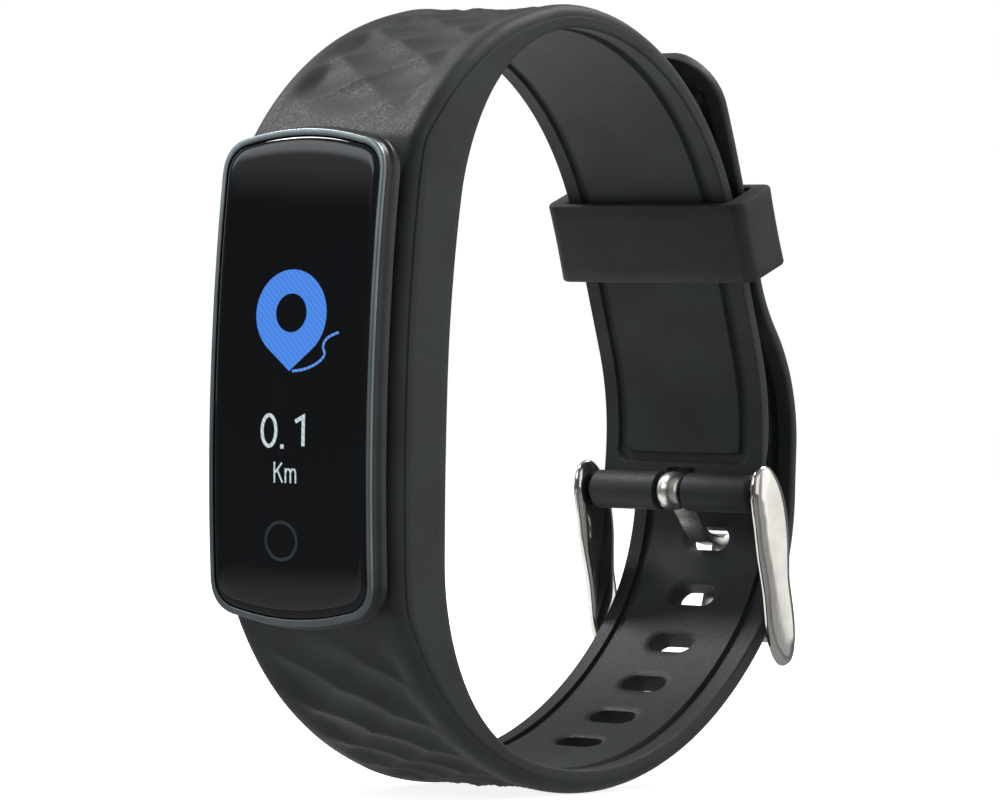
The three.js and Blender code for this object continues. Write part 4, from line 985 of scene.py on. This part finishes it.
# %% Ears and far bar
EAR_INNER_X, EAR_THICK = WIDTH / 2 + 0.5, 1.3
EDGE_POWER, FACE_POWER = 0.62, 0.8  # of the superellipse
FAR_BAR_RADIUS, FAR_BAR_BELOW_SLOT = 0.8, 8.0
PIN_HOLE_RADIUS = 0.48
EAR_STATIONS = (
    # share of the way to the far bar, middle of the ear, half width
    (-0.19, 0.0, 0.55), (-0.15, 0.0, 1.45), (-0.06, 0.05, 2.2), (0.06, 0.15, 2.6), (0.2, 0.1, 2.75),
    (0.36, -0.2, 2.72), (0.5, -0.55, 2.42), (0.62, -0.85, 2.2), (0.74, -1.05, 2.25), (0.86, -1.25, 2.32),
    (0.97, -1.4, 2.15), (1.06, -1.5, 1.75), (1.13, -1.55, 1.15), (1.16, -1.55, 0.5),
)


def far_bar_centre():
    u = TANG_SLOT - FAR_BAR_BELOW_SLOT
    at, out = walk(LONG_RUN, 1, u)
    return at + out * (thickness(u, 1) + FAR_BAR_RADIUS + 0.3)


FAR_BAR = far_bar_centre()
ear_length = np.linalg.norm(FAR_BAR - BAR)
ear_down = (FAR_BAR - BAR) / ear_length
ear_out = np.array([-ear_down[1], ear_down[0]])


def through(points, count, closed=True):
    """A Catmull-Rom curve through the points, sampled evenly in its own parameter."""
    points = np.asarray(points, float)
    size = len(points)
    result = []
    for t in np.linspace(0, size if closed else size - 1, count, endpoint=not closed):
        i = min(int(t), size - 1 if closed else size - 2)
        f = t - i
        pick = (lambda k: points[k % size]) if closed else (lambda k: points[min(max(k, 0), size - 1)])
        a, b, c, d = pick(i - 1), pick(i), pick(i + 1), pick(i + 2)
        square, cube = 2 * a - 5 * b + 4 * c - d, 3 * b - a - 3 * c + d
        result.append(0.5 * (2 * b + (c - a) * f + square * f**2 + cube * f**3))
    return np.array(result)


outer_side = [(s * ear_length, m + h) for s, m, h in EAR_STATIONS]
inner_side = [(s * ear_length, m - h) for s, m, h in EAR_STATIONS]
ear_outline = through(outer_side + inner_side[::-1], 160)
spine_down = np.clip(ear_outline[:, 0], 0.02 * ear_length, 1.0 * ear_length)
middles = [(s * ear_length, m) for s, m, h in EAR_STATIONS]
spine_out = np.interp(spine_down, *zip(*middles))
spine = np.stack([spine_down, spine_out], 1)


def ear(side):
    middle = side * (EAR_INNER_X + EAR_THICK / 2)
    rings = []
    for a in np.radians([*np.linspace(-90, -20, 9), -10, 0, 10, *np.linspace(20, 90, 9)]):
        share = max(0.04, math.cos(a)) ** EDGE_POWER
        height = math.copysign(abs(math.sin(a)) ** FACE_POWER, a) * EAR_THICK / 2
        flat = spine + (ear_outline - spine) * share
        spot = BAR + flat[:, :1] * ear_down + flat[:, 1:] * ear_out
        rings.append(np.stack([np.full(len(flat), middle + side * height), spot[:, 0], spot[:, 1]], 1))
    return loft("ear", rings, polished_steel)


reach = EAR_INNER_X + 0.5
buckle = loft("buckle_casting", bar_rings(FAR_BAR_RADIUS, -reach, reach, *FAR_BAR, sides=40), polished_steel)
for side in (-1, 1):
    boolean(buckle, ear(side), "UNION")
for side in (-1, 1):
    low, high = sorted((side * (EAR_INNER_X - 1), side * (EAR_INNER_X + 0.9)))
    pin_hole = loft("pin_hole", bar_rings(PIN_HOLE_RADIUS, low, high, *BAR, sides=24), polished_steel)
    boolean(buckle, pin_hole, "DIFFERENCE")
soften(buckle, 50)
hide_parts("buckle_frame")
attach(buckle, "buckle")
print("buckle:", len(buckle.data.polygons), "faces")

# %% [markdown]
# ## Tang
# The tang is a cast prong. It wraps the spring bar in a plump, ball-like curl, passes through the slot as
# a flat shank with rounded edges, and rests on the far bar.

# %% Tang
TIP_NARROW = 0.72  # the tip's share of the full section
CURL_HALF, CURL_RADIUS, CURL_PLUMP, CURL_BULGE = 1.32, 1.05, 0.85, 0.45
CURL_END, CURL_SIDES, CURL_BORE = 84, 56, 1.0
slot_at, slot_out = walk(LONG_RUN, 1, TANG_SLOT)
slot_thick = thickness(TANG_SLOT, 1)
to_slot = slot_at - 1.6 * slot_out
toward = (to_slot - BAR) / np.linalg.norm(to_slot - BAR)
rest = FAR_BAR + ear_out * (FAR_BAR_RADIUS + 0.15 + TANG_THICK / 2)
tang_line = through([
    BAR + toward * 1.2, BAR + toward * 3.2, to_slot, slot_at + slot_out * slot_thick / 2,
    slot_at + slot_out * (slot_thick + 1.0), rest,
], 40, closed=False)
section = rounded_rectangle(TANG_WIDTH, TANG_THICK, 0.26, 5)
tang_rings = []
for i, spot in enumerate(tang_line):
    run = tang_line[min(i + 1, len(tang_line) - 1)] - tang_line[max(i - 1, 0)]
    run = run / np.linalg.norm(run)
    over = np.array([-run[1], run[0]])
    left = (len(tang_line) - 1 - i) / 3
    taper = 1.0
    if left <= 1:
        taper = TIP_NARROW + (1 - TIP_NARROW) * math.sqrt(max(0.0, 1 - (1 - left) ** 2))
    place = spot + section[:, 1:] * taper * over
    tang_rings.append(np.stack([section[:, 0] * taper, place[:, 0], place[:, 1]], 1))
tang = loft("tang_prong", tang_rings, satin_steel)

turn = np.linspace(0, 2 * math.pi, CURL_SIDES, endpoint=False)
ball_rings = []
for a in np.radians(np.linspace(-CURL_END, CURL_END, 19)):
    x = CURL_HALF * math.sin(a) / math.sin(math.radians(CURL_END))
    radius = CURL_RADIUS + CURL_PLUMP * math.cos(a) ** 0.8
    bulge = CURL_BULGE * math.cos(a)
    ball_rings.append(np.stack([
        np.full(CURL_SIDES, x), BAR[0] - bulge + radius * np.cos(turn), BAR[1] + 0.05 + radius * np.sin(turn),
    ], 1))
boolean(tang, loft("curl", ball_rings, satin_steel), "UNION")
boolean(tang, loft("curl_bore", bar_rings(CURL_BORE, -3, 3, *BAR, sides=40), satin_steel), "DIFFERENCE")
soften(tang, 40)
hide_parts("tang")
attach(tang, "tang")
print("tang:", len(tang.data.polygons), "faces")

# %% [markdown]
# ## What the display shows
# The display shows through black glass, so its picture seems to lie on the surface. Each mark is a thin
# plate that follows the curve of the front: a map pin with a round hole, a winding route, a distance in
# digits with its unit, and the printed ring of the touch spot. All are drawn from strokes, so no font
# file is needed.

# %% Light of the display
STRIPE = 0.24
PROUD, SUNK = 0.012, 0.04  # how far a mark stands in front of the glass and reaches behind it


def glowing(name, dark, light, strength):
    # The panel's columns of lamps make fine slanted bands: drawn coarser than real ones, so that they show.
    material, tree, shader, place = surface(
        name, Roughness=0.06, IOR=1.52, Base_Color=colour("#08090c"), Emission_Strength=strength,
    )
    bands = add(tree, "ShaderNodeTexWave", {"bands_direction": "DIAGONAL"}, {
        "Vector": place, "Scale": 1 / (STRIPE * MM * 4), "Distortion": 0.6, "Detail": 1.0,
    })
    mix = add(tree, "ShaderNodeMix", {"data_type": "RGBA"}, {
        0: bands.outputs["Fac"], 6: colour(dark), 7: colour(light),
    })
    tree.links.new(mix.outputs[2], shader.inputs["Emission Color"])
    return material


pin_light = glowing("lit_panel_blue", "#4583e2", "#548ff0", 0.95)
route_light = glowing("lit_panel_pale_blue", "#4a86e6", "#6ba4f5", 0.9)
digit_light = glowing("lit_panel_white", "#bcd2da", "#e4eef0", 0.85)
ring_print = grained("grey_ring_print_under_glass", "#242b30", "#2b3338", 0.5, 0.05, 0.09, 0.0, IOR=1.52)


def plate(name, loops, finish):
    """A thin plate between two matching lines of (x, z) points, laid on the curved glass."""
    faces, points = [], []
    for left, right, closed in loops:
        start, n = len(points), len(left)
        for proud in (-PROUD, SUNK):
            for line in (left, right):
                points += [(x, front_y(z) + proud, z) for x, z in line]
        a, b, c, d = (start + m * n for m in range(4))
        for j in range(n if closed else n - 1):
            k = (j + 1) % n
            faces += [[a + j, a + k, b + k, b + j], [c + j, d + j, d + k, c + k]]
            faces += [[a + j, c + j, c + k, a + k], [b + j, b + k, d + k, d + j]]
        if not closed:
            faces += [[a, b, d, c], [a + n - 1, c + n - 1, d + n - 1, b + n - 1]]
    made = mesh_object(name, points, faces, finish)
    face_outwards(made)
    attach(made, "pod")
    return made


def stroke(points, width, closed=False):
    """The two sides of a stroke of even width along a line."""
    points = np.asarray(points, float)
    ahead = np.roll(points, -1, 0) - points
    behind = points - np.roll(points, 1, 0)
    if not closed:
        ahead[-1], behind[0] = behind[-1], ahead[0]
    unit = lambda v: v / np.maximum(np.linalg.norm(v, axis=1, keepdims=True), 1e-9)
    mean = unit(unit(ahead) + unit(behind))
    side = np.stack([-mean[:, 1], mean[:, 0]], 1) * width / 2
    stretch = np.maximum(0.5, (unit(ahead) * mean).sum(1))[:, None]
    return points + side / stretch, points - side / stretch, closed


def oval(x, z, rx, rz, count=64):
    a = np.linspace(0, 2 * math.pi, count, endpoint=False)
    return np.stack([x + rx * np.cos(a), z + rz * np.sin(a)], 1)


print("display helpers ready")

# %% Pin, route, digits and ring
PIN_Z, PIN_RADIUS, HOLE_RADIUS, TIP_Z = 5.55, 3.95, 1.72, 0.5
hole = oval(0, PIN_Z + 0.1, HOLE_RADIUS, HOLE_RADIUS, 96)
drop = PIN_Z - TIP_Z
touch = math.acos(PIN_RADIUS / drop)
pin_edge = []
for a in np.linspace(0, 2 * math.pi, 96, endpoint=False):
    from_down = (a + math.pi / 2 + math.pi) % (2 * math.pi) - math.pi
    radius = PIN_RADIUS if abs(from_down) > touch else PIN_RADIUS / math.cos(touch - abs(from_down))
    pin_edge.append((radius * math.cos(a), PIN_Z + radius * math.sin(a)))
plate("display_pin", [(hole, pin_edge, True)], pin_light)

route_bends = [(0.35, 0.5), (1.8, 0.72), (3.2, 1.3), (3.9, 2.0), (3.72, 2.8), (4.2, 3.5), (5.4, 4.0)]
route = through(route_bends, 48, closed=False)
plate("display_route", [stroke(route, 0.24)], route_light)

zero = oval(-2.1, -4.8, 0.78, 1.36)
one = [(0.85, -3.95), (1.75, -3.5), (1.75, -6.1)]
dot = [(-0.62, -6.0), (-0.62, -6.38)]
letter_k = [
    [(-1.45, -7.55), (-1.45, -9.4)], [(-0.6, -7.62), (-1.36, -8.5)], [(-1.1, -8.3), (-0.55, -9.38)],
]
letter_m = [
    [(-0.2, -8.1), (-0.2, -9.4)],
    [(-0.2, -8.5), (-0.05, -8.18), (0.25, -8.2), (0.36, -8.5), (0.36, -9.4)],
    [(0.36, -8.5), (0.52, -8.18), (0.82, -8.2), (0.93, -8.5), (0.93, -9.4)],
]
marks = [stroke(zero, 0.34, True), stroke(one, 0.36), stroke(dot, 0.38)]
marks += [stroke(line, 0.17) for line in letter_k + letter_m]
plate("display_distance", marks, digit_light)
plate("touch_ring_print", [stroke(oval(-0.75, -14.55, 1.72, 1.66), 0.3, True)], ring_print)
print("display marks drawn")

# %% [markdown]
# ## Parts that keep their CAD shape
# The spring bar and everything sealed inside the pod are right as they are. Each gets the finish of its
# own material slot, so the record and the picture agree.

# %% Finish the CAD parts
FINISH_OF_SLOT = {
    "bar_steel": bar_steel, "black_foam": black_foam, "circuit_board": circuit_board,
    "lamp_resin": lamp_resin, "chip_resin": chip_resin, "display_stack": display_stack,
    "light_film": light_film, "flex_film": flex_film, "antenna_ceramic": antenna_ceramic,
    "cell_foil": cell_foil, "motor_can": motor_can, "rotor_metal": rotor_metal,
}
painted = 0
for entry in frame["record"]["subparts"]:
    node = frame["nodes"][entry["node"]]
    if node.hide_render:
        continue
    node.data.materials.clear()
    node.data.materials.append(FINISH_OF_SLOT[entry["material_slot"]])
    painted += 1
print("CAD parts painted:", painted)

# %% [markdown]
# ## Floor and light
# The band stands on a pale floor in a soft white room. The room is a large dome that only the camera
# sees, so it gives an even white behind the object and doesn't wash out the glass. The light itself is a
# sky, brighter above and below than at the horizon, with large soft lamps to model the sides.

# %% Floor and room
def plain_mesh(name, build):
    work = bmesh.new()
    build(work)
    mesh = bpy.data.meshes.new(name)
    work.to_mesh(mesh)
    work.free()
    made = into_scene(name, mesh)
    return made


WHITE, BLACK = colour("#ffffff"), colour("#000000")
FLOOR_GLOW, ROOM_RADIUS, FLOOR_RADIUS = 0.86, 6.5, 6.0


def unseen_by(piece, *rays):
    for ray in rays:
        setattr(piece, "visible_" + ray, False)


floor_paint, tree, shader, place = surface(
    "pale_floor_paint", Roughness=0.9, Emission_Color=WHITE, Emission_Strength=FLOOR_GLOW,
)
two_tone(tree, shader, place, 60.0, "#f2f2f1", "#f6f6f5")
floor = plain_mesh("floor", lambda work: bmesh.ops.create_circle(
    work, cap_ends=True, segments=96, radius=FLOOR_RADIUS,
))
floor.data.transform(Matrix.Translation((0, 0, cad_low.z - 0.0001)))
floor.data.materials.append(floor_paint)
unseen_by(floor, "glossy")

room_paint = surface("white_room", Base_Color=BLACK, Emission_Color=WHITE, Emission_Strength=1.0)[0]
room = plain_mesh("room", lambda work: bmesh.ops.create_icosphere(work, subdivisions=4, radius=ROOM_RADIUS))
room.data.materials.append(room_paint)
unseen_by(room, "diffuse", "glossy", "transmission", "shadow", "volume_scatter")
print("floor at", round(cad_low.z * 1000, 2), "mm")

# %% [markdown]
# ## Reflector cards
# Polished things show what stands round them, so pale cards stand round the band, seen by reflections
# only. The front card lies where the glass looks, and its tone is graded by height: the curved glass goes
# from pale at its two ends to black in the middle. The other three put light in the steel: one at the
# right, one behind, one low.

# %% Cards
CARD_AZIMUTH, CARD_FAR, CARD_WIDE = math.radians(-36), 1.0, 0.7
CARD_STEPS = (
    # height in metres, strength
    (-0.30, 0.9), (-0.21, 0.5), (-0.175, 0.12), (0.18, 0.1),
    (0.235, 0.6), (0.27, 2.7), (0.45, 3.0), (0.7, 2.0),
)


def reflector(name, corners, paint):
    """A flat card, its corners in millimetres, that only glossy rays see."""
    made = mesh_object(name, corners, [[0, 1, 3, 2]], paint)
    unseen_by(made, "camera", "diffuse", "transmission", "shadow", "volume_scatter")


card_paint, tree, shader, place = surface(
    "graded_card", Base_Color=BLACK, Emission_Color=colour("#f4faff"), Specular_IOR_Level=0.0,
)
height = add(tree, "ShaderNodeSeparateXYZ", {}, {0: place}).outputs["Z"]
total = CARD_STEPS[0][1]
for (z0, low), (z1, high) in zip(CARD_STEPS, CARD_STEPS[1:]):
    part = add(tree, "ShaderNodeMapRange", {"interpolation_type": "SMOOTHSTEP"}, {
        0: height, 1: z0, 2: z1, 3: 0.0, 4: high - low,
    })
    total = calc(tree, "ADD", total, part.outputs[0])
tree.links.new(total, shader.inputs["Emission Strength"])

middle = np.array([math.sin(CARD_AZIMUTH), -math.cos(CARD_AZIMUTH)]) * CARD_FAR
sideways = np.array([math.cos(CARD_AZIMUTH), math.sin(CARD_AZIMUTH)]) * CARD_WIDE / 2
low, high = CARD_STEPS[0][0], CARD_STEPS[-1][0]
corners = np.array([(*(middle + side * sideways), z) for z in (low, high) for side in (-1, 1)])
reflector("card", corners / MM, card_paint)
reflector("low_card", [(x, y, -37.6) for y in (-18, 80) for x in (-150, -10)], room_paint)
for label, start, stop in (("side_card", 62, 108), ("back_card", 128, 162)):
    sides = [math.radians(v) for v in (start, stop)]
    points = [(1000 * math.sin(a), -1000 * math.cos(a), z) for z in (-60, 600) for a in sides]
    reflector(label, points, room_paint)
print("cards placed")

# %% Sky and lamps
SKY_LOW, SKY_HIGH = 0.06, 0.5  # heights of the view direction, up or down
SKY_DIM, SKY_BRIGHT = 0.14, 0.3
sky = bpy.data.worlds.new("soft_tent")
sky.use_nodes = True
bpy.context.scene.world = sky
tree = sky.node_tree
way = add(tree, "ShaderNodeTexCoord").outputs["Generated"]
height = add(tree, "ShaderNodeSeparateXYZ", {}, {0: way}).outputs["Z"]
level = calc(tree, "ABSOLUTE", height)
gain = add(tree, "ShaderNodeMapRange", {"interpolation_type": "SMOOTHERSTEP"}, {
    0: level, 1: SKY_LOW, 2: SKY_HIGH, 3: SKY_DIM, 4: SKY_BRIGHT,
})
background = tree.nodes["Background"]
background.inputs["Color"].default_value = colour("#fbfdff")
tree.links.new(gain.outputs[0], background.inputs["Strength"])


def lamp(name, azimuth, elevation, distance, width, height, power):
    """A soft rectangular lamp that looks at the band's middle; azimuth is seen from above, 0 in front."""
    a, e = math.radians(azimuth), math.radians(elevation)
    way = Vector((math.sin(a) * math.cos(e), -math.cos(a) * math.cos(e), math.sin(e)))
    data = bpy.data.lights.new(name, "AREA")
    data.shape, data.size, data.size_y = "RECTANGLE", width, height
    data.energy = power
    made = into_scene(name, data)
    made.matrix_world = Matrix.Translation(way * distance) @ way.to_track_quat("Z", "Y").to_matrix().to_4x4()


lamp("overhead", -75, 52, 0.9, 0.22, 0.22, 5.0)
lamp("far_top", 165, 50, 0.9, 0.4, 0.4, 4.5)
lamp("left_wing", -95, 18, 0.9, 0.4, 0.6, 0.9)
lamp("right_wing", 128, 12, 0.9, 0.9, 0.8, 0.5)
bpy.context.scene.view_settings.view_transform = "Standard"
print("lamps ready")

# %% [markdown]
# ## The CAD size
# Blender must not change the object's size, so the CAD box is printed in millimetres.

# %% The CAD size
print("cad  ", [round(v * 1000, 2) for v in (*cad_low, *cad_high)])
